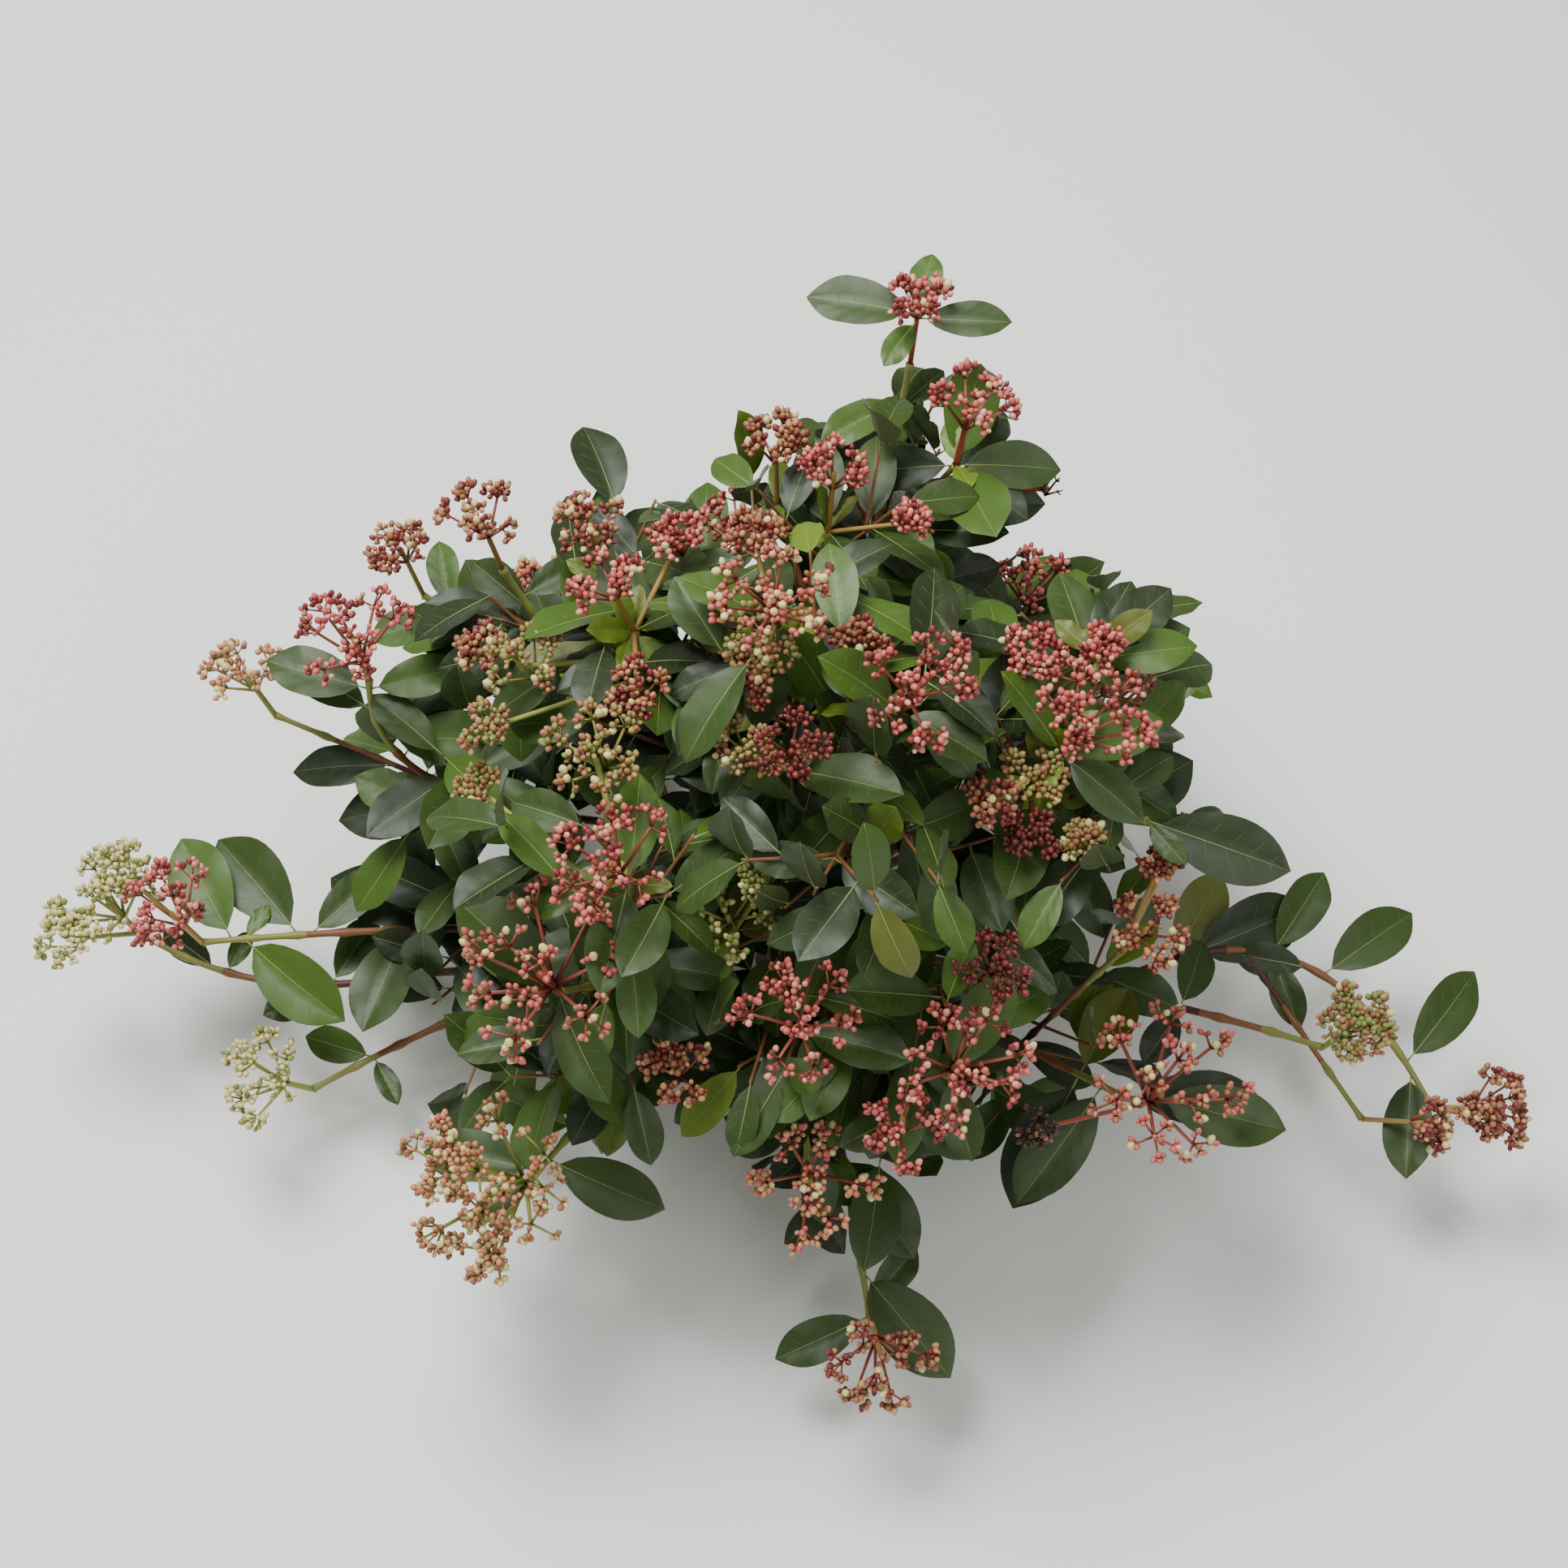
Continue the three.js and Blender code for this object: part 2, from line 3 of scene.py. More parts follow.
import json
import math
from contextlib import contextmanager
from functools import lru_cache
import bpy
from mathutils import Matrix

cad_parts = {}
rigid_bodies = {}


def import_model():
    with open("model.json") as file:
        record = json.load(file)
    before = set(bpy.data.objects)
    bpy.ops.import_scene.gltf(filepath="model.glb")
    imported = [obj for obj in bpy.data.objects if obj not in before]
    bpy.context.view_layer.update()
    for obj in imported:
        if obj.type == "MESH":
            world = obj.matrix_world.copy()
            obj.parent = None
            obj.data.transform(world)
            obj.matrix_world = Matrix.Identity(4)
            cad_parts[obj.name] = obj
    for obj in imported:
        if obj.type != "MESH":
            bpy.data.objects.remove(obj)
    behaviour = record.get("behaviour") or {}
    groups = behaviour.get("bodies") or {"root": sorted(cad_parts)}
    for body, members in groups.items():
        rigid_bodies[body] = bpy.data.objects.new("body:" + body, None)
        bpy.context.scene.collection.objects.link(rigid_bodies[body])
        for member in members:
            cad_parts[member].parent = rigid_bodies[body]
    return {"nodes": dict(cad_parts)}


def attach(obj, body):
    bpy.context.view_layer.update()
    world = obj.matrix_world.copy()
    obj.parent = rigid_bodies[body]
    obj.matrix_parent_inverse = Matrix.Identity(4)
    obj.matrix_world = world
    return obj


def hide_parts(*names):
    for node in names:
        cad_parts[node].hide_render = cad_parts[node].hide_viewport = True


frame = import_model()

from types import SimpleNamespace

import bpy
import numpy as np
from bpy.props import FloatProperty, IntProperty, PointerProperty, StringProperty
from mathutils import Quaternion, Vector, geometry, noise
from mathutils.bvhtree import BVHTree

bl_info = {
    "name": "Laurustinus Shrub",
    "version": (1, 0, 0),
    "blender": (4, 5, 0),
    "location": "3D View > Sidebar > Shrub",
    "description": "Dresses a laurustinus shrub with bark, twigs, leaves and heads of buds",
    "category": "Object",
}

MM = 0.001
UP = Vector((0, 0, 1))
BODY = "root"
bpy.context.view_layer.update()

# Driving sizes in metres, most of them the same as the solids have. A share is a part of the length named
# with it, and a taper is the radius at the tip as a share of the one at the foot.

CLEARANCE = 0.3 * MM
GROUND_MARGIN = 2 * MM
CELL_MARGIN = 0.4 * MM
OBSTACLE_STEP = 3 * MM

STEM = SimpleNamespace(
    height=92 * MM, foot_radius=12 * MM, top_radius=9 * MM, flare=7 * MM, flare_height=11 * MM, lean=8 * MM
)
BOUGH = SimpleNamespace(base_radius=4.8 * MM, side_base_radius=3.5 * MM, tip_radius=2.2 * MM, share=0.48)
TWIG = SimpleNamespace(
    base_radius=2.4 * MM, tip_radius=1.7 * MM, side_radius=1.15 * MM, test_lines=8, room=2 * MM,
    limb_taper=0.9, side_taper=0.7, sag=1.5 * MM, node_reach=4 * MM,
)
UMBEL = SimpleNamespace(
    core_share=0.6, block_share=0.85, stalk_length=40 * MM, tilt=0.3, least_rise=12 * MM, stalk_width=1.5,
    stalk_taper=0.9,
)
LEAF = SimpleNamespace(
    width_share=0.56, widest_share=0.42, fold_share=0.05, droop_share=0.1, root_offset=0.3 * MM,
    free_share=0.05, sizes=(1, 0.86, 0.72), young_size=0.68,
)

# How twigs and leaves grow. Angles are in degrees, and a pair of numbers is a range.

HABIT = SimpleNamespace(
    first_seed=1000,
    seed_step=37,
    internode=27 * MM,
    first_node_share=0.6,
    fork_share=0.68,
    heart_share=0.7,
    turn_sway=(-30, 30),
    leaf_opening=(52, 72),
    leaf_lift=(-0.1, 0.14),
    levelling=0.7,
    face_tipwards=0.6,
    face_sway=(-0.5, 0.5),
    outer_sway=(-0.25, 0.25),
    outer_tilt=0.35,
    leaf_scale=(0.9, 1.05),
    pair_scale=(0.88, 1.1),
    side_twig_length=54 * MM,
    side_twig_scale=(0.7, 1.25),
    side_twig_spread=50,
    side_twig_lift=0.25,
    side_twig_sway=(-23, 23),
    side_leaf_scale=(0.8, 1),
    end_leaf_size=0.9,
    middle_share=0.55,
    axil_offset=9 * MM,
    end_offset=4 * MM,
    crown_reach=(190 * MM, 155 * MM),
    crown_height=380 * MM,
    head_window=0.75,
    spur_step=22 * MM,
    spur_start_share=0.3,
    finer_leaf_share=0.95,
    finest_order=2,
    young_pair_share=0.45,
    young_pair_scale=(0.8, 1.2),
    host_steps=20,
    first_host_step=8,
    seen_shares=(0.3, 0.6, 1),
    stub_share=0.03,
    own_twig_share=0.25,
    leaf_search=1.3,
    line_search=1.5,
    twig_search=2,
    axil_room=8 * MM,
)

# A direction square to an axis has to be at least this long before it is made one unit long
UPRIGHT_LIMIT = 0.2

# Where the photo was taken from: it looks from the front, down at this angle, at this target
VIEW = SimpleNamespace(
    target=Vector((-2, 6, 200)) * MM, elevation=math.radians(60), distance=1800 * MM, lens=75, sensor_width=36
)

# Gaps between the shoots where the photo shows only its background: the middle across and up in the photo,
# from its target, and the radius, in millimetres


def gap(across, up, radius):
    return SimpleNamespace(middle=Vector((across, up)) * MM, radius=radius * MM)


GAPS = (
    gap(-65, 190, 25), gap(181, 146, 22), gap(15, 232, 32), gap(-43, -240, 36), gap(-92, -243, 27),
    gap(-230, -167, 34), gap(243, 10, 30), gap(14, -270, 22), gap(118, -232, 24), gap(-119, 190, 24),
    gap(270, 118, 30), gap(266, 30, 20), gap(270, 61, 30), gap(212, 136, 24), gap(49, 235, 20),
    gap(-90, 203, 20),
)

# Tips of the shoots: azimuth in degrees from +X towards +Y, seen from above, reach from the stem and
# height, in millimetres. A head of buds has its spread and its colours, and tilt leans its stalk outwards.


def head(azimuth, reach, height, spread, hue, tilt=UMBEL.tilt):
    return SimpleNamespace(
        azimuth=azimuth, reach=reach, height=height, spread=spread * MM, hue=hue, tilt=tilt
    )


def tuft(azimuth, reach, height):
    """A tip that ends in leaves, without a head."""
    return head(azimuth, reach, height, 0, None, 0)


# Every shoot is one bare bough with its foliage. It leaves the stem or another bough at a share of that
# limb's length. Arch lifts the middle of its way and bow pushes it sideways, in millimetres. Sway pushes
# the middle of the leading twig beyond the bough onwards, to the left and up.


def shoot(name, parent, at, arch, bow, *tips, sway=None):
    return SimpleNamespace(name=name, parent=parent, at=at, arch=arch, bow=bow, tips=tips, sway=sway)


SHOOTS = (
    # The maroon head at 271 degrees has painted shade: dark buds for a head in the shade of leaves
    shoot("crown", "stem", 1, 0, 8, head(250, 26, 430, 30, "mixed"), head(271, 88, 395, 19, "maroon"),
          head(311, 95, 428, 32, "ruby"), tuft(292, 118, 345)),
    shoot("low_left", "stem", 0.3, 30, 0, head(188, 346, 150, 29, "rose")),
    shoot("left", "stem", 0.62, -35, 0, head(168, 238, 280, 34, "rose", 0.1),
          head(168, 307, 220, 24, "olive"), sway=(62, 34, -18)),
    shoot("left_front", "stem", 0.72, -30, 0, head(233, 205, 305, 48, "mixed"),
          head(236, 155, 355, 35, "rose"), head(256, 127, 290, 26, "green")),
    shoot("front", "stem", 0.9, -25, 0, head(272, 182, 290, 34, "ruby"), head(294, 213, 268, 38, "rose"),
          # The maroon head at 303 degrees has painted shade, and the salmon head at 273 degrees has painted
          # light: paler buds for a low head that stands in shade
          head(303, 188, 300, 18, "maroon"), head(273, 223, 180, 34, "salmon", 0.8)),
    shoot("lower_right", "stem", 0.55, -10, 0, head(318, 265, 200, 46, "mixed"),
          head(325, 223, 285, 20, "brown")),
    shoot("right_shoot", "stem", 0.28, 55, 0, head(340, 418, 98, 24, "brown", 1.4),
          head(337, 384, 94, 16, "brown", 1.4), sway=(-5, 116, 16)),
    shoot("right_top", "stem", 0.8, -35, 0, head(338, 161, 375, 34, "ruby"), tuft(355, 155, 365),
          tuft(335, 200, 320)),
    shoot("top_shoot", "stem", 0.76, -20, 0, head(70, 204, 388, 17, "ruby"),
          head(55, 168, 368, 25, "ruby")),
    shoot("back_low", "stem", 0.34, 25, 0, head(98, 215, 150, 26, "rose")),
    shoot("back_right", "stem", 0.58, 15, 0, head(22, 208, 190, 26, "brown")),
    shoot("upper_left", "left", 0.3, -10, 0, head(144, 207, 288, 24, "brown"),
          head(147, 260, 230, 18, "brown")),
    shoot("far_left", "low_left", 0.5, 0, 55, head(184, 386, 122, 33, "cream"), sway=(0, 36, 0)),
    shoot("low_left_green", "low_left", 0.35, 30, 0, head(202, 316, 84, 30, "cream", 0.7)),
    shoot("inner_left", "crown", 0.3, -15, 0, head(163, 95, 365, 20, "rose"),
          head(141, 135, 330, 22, "brown"), tuft(128, 150, 300)),
    shoot("crown_back", "crown", 0.55, -10, 0, head(76, 99, 368, 19, "rose"),
          head(93, 126, 350, 20, "brown")),
    shoot("right_leaves", "right_top", 0.5, 0, 0, tuft(8, 178, 290)),
    shoot("lower_left", "left_front", 0.35, 10, 0, head(236, 268, 172, 52, "olive", 0.7)),
    shoot("bottom_shoot", "front", 0.3, 20, 0, head(280, 290, 92, 33, "brown", 1.4)),
    shoot("right_dome", "right_shoot", 0.6, 20, 0, head(341, 330, 132, 23, "bronze")),
    shoot("back_left_low", "back_low", 0.4, 15, 0, head(130, 225, 140, 26, "salmon")),
    shoot("back_right_low", "back_right", 0.35, 10, 0, head(50, 225, 145, 26, "rose")),
)

# Smaller heads inside the crown, each on a stalk from the nearest limb

INNER_HEADS = (
    head(213, 115, 345, 29, "khaki"), head(178, 135, 325, 21, "khaki"), head(253, 75, 372, 16, "khaki"),
    head(331, 142, 335, 18, "khaki"), head(132, 85, 352, 16, "rose"), head(354, 157, 376, 9, "rose"),
    # The maroon head at 321 degrees has painted shade
    head(352, 124, 370, 15, "rose"), head(321, 157, 330, 12, "maroon"), head(197, 167, 290, 12, "khaki"),
    head(253, 193, 235, 18, "brown"), head(342, 215, 268, 9, "brown"), head(42, 84, 380, 8, "rose"),
    head(319, 46, 400, 12, "brown"), head(170, 163, 300, 14, "brown"), head(200, 81, 352, 15, "brown"),
    head(245, 48, 385, 11, "brown"), head(248, 28, 395, 19, "khaki"), head(112, 46, 385, 14, "brown"),
    head(317, 137, 352, 12, "brown"), head(326, 177, 322, 9, "khaki"), head(334, 212, 290, 8, "brown"),
    head(265, 118, 318, 14, "green"), head(285, 223, 232, 23, "rose"), head(303, 237, 195, 8, "withered"),
    head(190, 157, 315, 13, "khaki"), head(230, 279, 182, 24, "olive"), head(41, 185, 318, 9, "dead"),
    head(237, 294, 150, 18, "olive"), head(340, 330, 132, 20, "khaki"), head(183, 374, 145, 18, "cream"),
    head(187, 406, 122, 19, "cream"), head(339, 411, 96, 14, "brown"),
)


# Leaves that stand clear of the crown in the photo, on the outer shoots. Each leaves the shoot's own limb,
# numbered 0, or one of its side limbs at a share of that limb, where 1 to 2 is along the stalk of its head.
# It points to an azimuth from +X towards +Y with a slope, both in degrees. Its length is in millimetres.


def leaf(limb, at, azimuth, slope, length, tone):
    return SimpleNamespace(limb=limb, at=at, azimuth=azimuth, slope=slope, length=length * MM, tone=tone)


# A dark leaf here has painted shade, and a leaf in the tone for full light has painted light
OUTER_LEAVES = {
    "right_shoot": (
        leaf(0, 0.6, 20, 8, 75, "dark"), leaf(0, 0.58, 56, 15, 60, "olive"),
        leaf(0, 0.72, 56, 8, 62, "green"), leaf(0, 0.78, 170, 8, 44, "dark"),
        leaf(0, 0.72, 285, -5, 45, "green"), leaf(0, 0.8, 34, 8, 68, "green"),
        leaf(0, 0.95, 48, 12, 70, "green"), leaf(0, 0.96, 262, -3, 62, "green"),
    ),
    "right_dome": (leaf(0, 0.6, 65, 5, 46, "green"), leaf(0, 0.6, 240, 0, 40, "dark")),
    "inner_left": (leaf(2, 1, 106, 8, 60, "dark"),),
    "lower_right": (
        leaf(0, 0.96, 356, 5, 74, "dark"), leaf(0, 1.5, 343, 0, 72, "green"),
        leaf(0, 0.9, 236, -5, 80, "green"), leaf(0, 0.84, 240, -16, 80, "dark"),
        leaf(0, 0.84, 60, 8, 60, "olive"), leaf(0, 0.72, 190, 0, 56, "green"),
        leaf(1, 0.8, 40, 10, 40, "young"),
    ),
    "low_left": (
        leaf(0, 0.82, 42, 10, 55, "green"), leaf(0, 0.84, 130, 10, 78, "green"),
        leaf(0, 0.93, 56, 10, 24, "fresh"), leaf(0, 0.95, 122, 10, 70, "fresh"),
        leaf(0, 0.93, 316, 0, 76, "fresh"), leaf(0, 0.6, 150, 5, 76, "dark"),
        leaf(0, 0.66, 250, 0, 66, "green"),
    ),
    "far_left": (
        leaf(0, 0.82, 65, 5, 28, "fresh"), leaf(0, 0.84, 142, 5, 42, "dark"),
        leaf(0, 0.62, 60, 5, 50, "green"), leaf(0, 0.62, 210, 3, 42, "green"),
    ),
    "low_left_green": (leaf(0, 0.84, 165, 5, 42, "fresh"), leaf(0, 0.84, 300, -3, 32, "green")),
    "left": (
        leaf(0, 0.98, 166, 5, 60, "green"), leaf(0, 0.93, 145, 0, 56, "green"),
        leaf(1, 0.33, 178, 0, 60, "dark"), leaf(0, 0.86, 356, 5, 68, "fresh"),
        leaf(0, 0.88, 25, 5, 40, "green"), leaf(0, 0.98, 12, 5, 52, "fresh"),
        leaf(0, 0.8, 60, 12, 56, "dark"), leaf(0, 0.66, 186, -8, 76, "dark"),
        leaf(0, 0.7, 70, 8, 50, "green"),
    ),
    "upper_left": (
        leaf(1, 0.8, 200, 0, 50, "fresh"), leaf(1, 0.82, 102, 10, 46, "fresh"),
        leaf(1, 0.5, 100, 10, 40, "green"), leaf(1, 0.5, 30, 5, 45, "dark"),
        leaf(1, 0.4, 205, 0, 50, "dark"), leaf(0, 0.92, 35, 5, 42, "green"),
        leaf(0, 0.88, 138, 5, 48, "green"), leaf(0, 0.75, 115, 12, 52, "green"),
    ),
    "lower_left": (
        leaf(0, 0.93, 333, 0, 68, "green"), leaf(0, 0.97, 166, 0, 66, "green"),
        leaf(0, 0.98, 214, -5, 42, "fresh"), leaf(0, 0.64, 265, -10, 42, "young"),
        leaf(0, 0.66, 190, 0, 42, "young"), leaf(0, 0.7, 20, 5, 52, "olive"),
    ),
    "top_shoot": (
        leaf(0, 1.8, 168, 5, 60, "green"), leaf(0, 1.75, 352, 5, 50, "green"),
        leaf(0, 1.8, 78, 14, 38, "fresh"), leaf(0, 1.7, 235, 0, 32, "fresh"),
        leaf(0, 0.9, 215, 0, 52, "green"), leaf(1, 1, 182, 0, 52, "dark"), leaf(1, 1, 358, 5, 56, "green"),
        leaf(1, 0.94, 326, 0, 50, "dark"), leaf(0, 0.93, 45, 8, 34, "green"),
        leaf(0, 0.94, 209, 3, 52, "fresh"),
    ),
    "bottom_shoot": (
        leaf(0, 0.62, 306, -5, 70, "green"), leaf(0, 0.72, 215, -5, 44, "dark"),
        leaf(0, 0.97, 45, 5, 42, "green"), leaf(0, 0.9, 309, -5, 74, "green"),
        leaf(0, 1, 206, -5, 56, "green"),
    ),
    "right_top": (
        leaf(1, 0.8, 60, 12, 62, "green"), leaf(1, 0.96, 104, 14, 50, "green"),
        leaf(1, 0.98, 66, 8, 50, "dark"), leaf(1, 1, 40, 8, 55, "dark"), leaf(1, 0.9, 22, 5, 62, "green"),
        leaf(1, 1, 140, 15, 26, "olive"), leaf(1, 1, 28, 34, 36, "olive"),
        leaf(1, 0.97, 2, 10, 54, "fresh"), leaf(1, 0.95, 208, 5, 30, "olive"),
        leaf(1, 0.98, 306, -3, 20, "young"), leaf(0, 1, 22, 3, 56, "fresh"),
        leaf(0, 1, 318, 0, 52, "green"), leaf(2, 0.68, 52, 8, 46, "green"),
        leaf(2, 0.68, 30, 8, 66, "dark"), leaf(2, 1, 303, 0, 30, "green"), leaf(2, 1, 338, 0, 76, "dark"),
    ),
}


RANDOM = SimpleNamespace(factor=1664525, step=1013904223, span=2**32)


def seeded_random(seed):
    """Numbers drawn in a fixed order, the same at each run."""
    state = seed

    def draw(low, high):
        nonlocal state
        state = (state * RANDOM.factor + RANDOM.step) % RANDOM.span
        return low + (high - low) * state / RANDOM.span

    return draw


class Way:
    """A quadratic curve that a limb or a twig follows."""

    def __init__(self, start, middle, end):
        self.start, self.middle, self.end = start, middle, end

    def point(self, t):
        return self.start * (1 - t) ** 2 + self.middle * (2 * t * (1 - t)) + self.end * t**2

    def tangent(self, t):
        return ((self.middle - self.start) * (1 - t) + (self.end - self.middle) * t).normalized()

    def length(self, chords=200):
        points = [self.point(i / chords) for i in range(chords + 1)]
        return sum((b - a).length for a, b in zip(points, points[1:]))

    def lines(self, start, count):
        points = [self.point(start + (1 - start) * i / count) for i in range(count + 1)]
        return list(zip(points, points[1:]))


def straight_way(start, end):
    return Way(start, (start + end) / 2, end)


class SwayedWay(Way):
    """A bough's way, with the middle of the leading twig beyond the bough pushed aside."""

    def __init__(self, bough, sway):
        super().__init__(bough.start, bough.middle, bough.end)
        start, end = bough.point(BOUGH.share), bough.end
        leftward = UP.cross(end - start).normalized()
        onward, left, up = sway
        push = leftward.cross(UP) * onward + leftward * left + UP * up
        self.twig = Way(start, (start + end) / 2 + push * MM, end)

    def point(self, t):
        if t <= BOUGH.share:
            return super().point(t)
        return self.twig.point((t - BOUGH.share) / (1 - BOUGH.share))

    def tangent(self, t):
        if t <= BOUGH.share:
            return super().tangent(t)
        return self.twig.tangent((t - BOUGH.share) / (1 - BOUGH.share))


# Ways of the shoots, from their limbs to the feet of their stalks


def tip_place(tip):
    azimuth = math.radians(tip.azimuth)
    return Vector((tip.reach * math.cos(azimuth), tip.reach * math.sin(azimuth), tip.height)) * MM


def stalk_direction(tip):
    azimuth = math.radians(tip.azimuth)
    return Vector((tip.tilt * math.cos(azimuth), tip.tilt * math.sin(azimuth), 1)).normalized()


def stalk_foot(tip):
    if not tip.spread:
        return tip_place(tip)
    return tip_place(tip) - stalk_direction(tip) * UMBEL.stalk_length


def way_to(start, tip, arch, bow):
    end = stalk_foot(tip)
    leftward = UP.cross(end - start).normalized()
    return Way(start, (start + end) / 2 + UP * arch * MM + leftward * bow * MM, end)


def stem_axis(height):
    return Vector((STEM.lean * (height / STEM.height) ** 2, 0, height))


def stem_radius(height):
    taper = STEM.foot_radius + (STEM.top_radius - STEM.foot_radius) * height / STEM.height
    return taper + STEM.flare * math.exp(-height / STEM.flare_height)


@lru_cache
def shoots():
    """Every shoot with its ways, its heart and the thickness of its foot."""
    made = {}
    for each in SHOOTS:
        if each.parent == "stem":
            start = stem_axis(STEM.height * each.at + (CLEARANCE if each.at == 1 else 0))
        else:
            start = made[each.parent].way.point(BOUGH.share * each.at)
        each.way = way_to(start, each.tips[0], each.arch, each.bow)
        if each.sway:
            each.way = SwayedWay(each.way, each.sway)
        each.base_radius = BOUGH.base_radius if each.parent == "stem" else BOUGH.side_base_radius
        each.side_ways = [way_to(each.way.point(HABIT.fork_share), tip, 0, 0) for tip in each.tips[1:]]
        total = sum((tip_place(tip) for tip in each.tips), each.way.point(HABIT.heart_share))
        each.heart = total / (len(each.tips) + 1)
        each.stalks = [(stalk_foot(tip), tip) for tip in each.tips if tip.spread]
        made[each.name] = each
    for tip in INNER_HEADS:
        foot, host = stalk_start(tip, made.values())
        host.stalks.append((foot, tip))
    return list(made.values())


def stalk_start(tip, made):
    """The nearest place below an inner head on a limb that can bear it, and the shoot that has the limb."""
    top = tip_place(tip)
    shares = [i / HABIT.host_steps for i in range(HABIT.first_host_step, HABIT.host_steps + 1)]
    starts = []
    for each in made:
        for way in (each.way, *each.side_ways):
            points = [way.point(share) for share in shares]
            starts += [(point, each) for point in points if point.z < top.z - UMBEL.least_rise]
    return min(starts, key=lambda start: (start[0] - top).length)


# What a leaf or twig has to stay clear of


@lru_cache
def obstacles():
    points, radii, owners = [], [], []

    def add(owner, way, start, end, radius):
        count = math.ceil(way.length() * (end - start) / OBSTACLE_STEP)
        for i in range(count + 1):
            points.append(way.point(start + (end - start) * i / count))
            radii.append(radius)
            owners.append(owner)

    for index, each in enumerate(shoots()):
        add(-1, each.way, 0, BOUGH.share, each.base_radius)
        add(index, each.way, BOUGH.share, 1, TWIG.base_radius)
        for way in each.side_ways:
            add(index, way, 0, 1, TWIG.base_radius)
        for foot, tip in each.stalks:
            points.append(tip_place(tip))
            radii.append(tip.spread * UMBEL.block_share)
            owners.append(index)
            add(index, straight_way(foot, tip_place(tip)), 0, 1, TWIG.base_radius)
    return SimpleNamespace(points=np.array(points), radii=np.array(radii), owners=np.array(owners))


@lru_cache
def hearts():
    return np.array([each.heart for each in shoots()])


def stays_in_cell(index, points):
    """Whether the points lie on the shoot's own side of the planes halfway to the other hearts."""
    own, others = hearts()[index], np.delete(hearts(), index, axis=0)
    apart = np.linalg.norm(others - own, axis=1)
    for point in np.array(points):
        depth = (((others - point) ** 2).sum(1) - ((own - point) ** 2).sum()) / (2 * apart)
        if (depth <= CELL_MARGIN).any():
            return False
    return True


def leaf_corners(blade):
    """The root, the tip and the two edges at the widest place."""
    length = blade.length
    widest = blade.root + blade.along * length * LEAF.widest_share + blade.face * length * LEAF.fold_share
    tip = blade.root + blade.along * length - blade.face * length * LEAF.droop_share
    half_width = length * LEAF.width_share / 2
    root = blade.root.lerp(tip, LEAF.free_share)
    return root, tip, widest + blade.side * half_width, widest - blade.side * half_width


def blade_halves(blade):
    root, tip, left, right = leaf_corners(blade)
    return [(root, left, tip), (root, tip, right)]


def leaf_fits(index, blade):
    corners = leaf_corners(blade)
    if min(corner.z for corner in corners) <= GROUND_MARGIN or not stays_in_cell(index, corners):
        return False
    if clutters(blade):
        return False
    others = obstacles().owners != index
    return leaf_is_clear(blade, others, -obstacles().radii[others])


def leaf_is_clear(blade, chosen, first):
    """Whether the chosen obstacles stay off the blade. Those that lie before first, along the leaf, are
    passed over."""
    offset = obstacles().points[chosen] - np.array(blade.root)
    radii = obstacles().radii[chosen]
    along = offset @ np.array(blade.along)
    sideways = np.abs(offset @ np.array(blade.side))
    height = np.abs(offset @ np.array(blade.face) + LEAF.droop_share * along)
    half_width = blade.length * LEAF.width_share / 2 + radii
    thickness = blade.length * LEAF.fold_share
    blocked = (along > first) & (along < blade.length + radii) & (sideways < half_width)
    return not (blocked & (height < radii + thickness)).any()


def twig_fits(index, start, end):
    if min(start.z, end.z) <= GROUND_MARGIN or not stays_in_cell(index, (start, end)):
        return False
    return twig_is_clear(start, end, obstacles().owners != index)


def twig_is_clear(start, end, chosen):
    line = np.array(end - start)
    offset = obstacles().points[chosen] - np.array(start)
    share = np.clip(offset @ line / (line @ line), 0, 1)
    distance = np.linalg.norm(offset - share[:, None] * line, axis=1)
    return (distance > obstacles().radii[chosen] + TWIG.room).all()


def line_meets(line, half):
    start, end = line
    way = end - start
    hit = geometry.intersect_ray_tri(*half, way, start, True)
    return hit is not None and (hit - start).length < way.length and (hit - start).dot(way) > 0


def tree_of(halves):
    corners = [corner for half in halves for corner in half]
    return BVHTree.FromPolygons(corners, [(i, i + 1, i + 2) for i in range(0, len(corners), 3)])


def meets_own(halves, kept, lines, heads):
    """Whether a leaf passes through a twig, a head or an earlier leaf of its own shoot."""
    for each in heads:
        for half in halves:
            nearest = geometry.closest_point_on_tri(each.centre, *half)
            if (nearest - each.centre).length < each.spread * UMBEL.core_share:
                return True
    if any(line_meets(line, half) for line in lines for half in halves):
        return True
    return bool(kept) and bool(tree_of(halves).overlap(tree_of(kept)))


# The rule of growth


def square_to(axis, turn):
    """A direction square to the axis: the highest one, turned about the axis."""
    square = UP - axis * axis.z
    if square.length < UPRIGHT_LIMIT:
        square = Vector((1, 0, 0)) - axis * axis.x
    square.normalize()
    square.rotate(Quaternion(axis, turn))
    return square


def leaf_pair(node, axis, turn, length, random, kind):
    """Opposite leaves at one node, square to the pair before them, with their blades turned to the light."""
    sideways = square_to(axis, turn)
    pair = []
    for way in (1, -1):
        opening = math.radians(random(*HABIT.leaf_opening))
        along = axis * math.cos(opening) + sideways * way * math.sin(opening)
        along.z = along.z * HABIT.levelling + random(*HABIT.leaf_lift)
        along.normalize()
        face = UP + axis * HABIT.face_tipwards
        face += Vector((random(*HABIT.face_sway), random(*HABIT.face_sway), 0))
        face = (face - along * face.dot(along)).normalized()
        pair.append(SimpleNamespace(
            root=node + along * LEAF.root_offset, along=along, side=face.cross(along), face=face,
            length=length * random(*HABIT.pair_scale), kind=kind,
        ))
    return pair


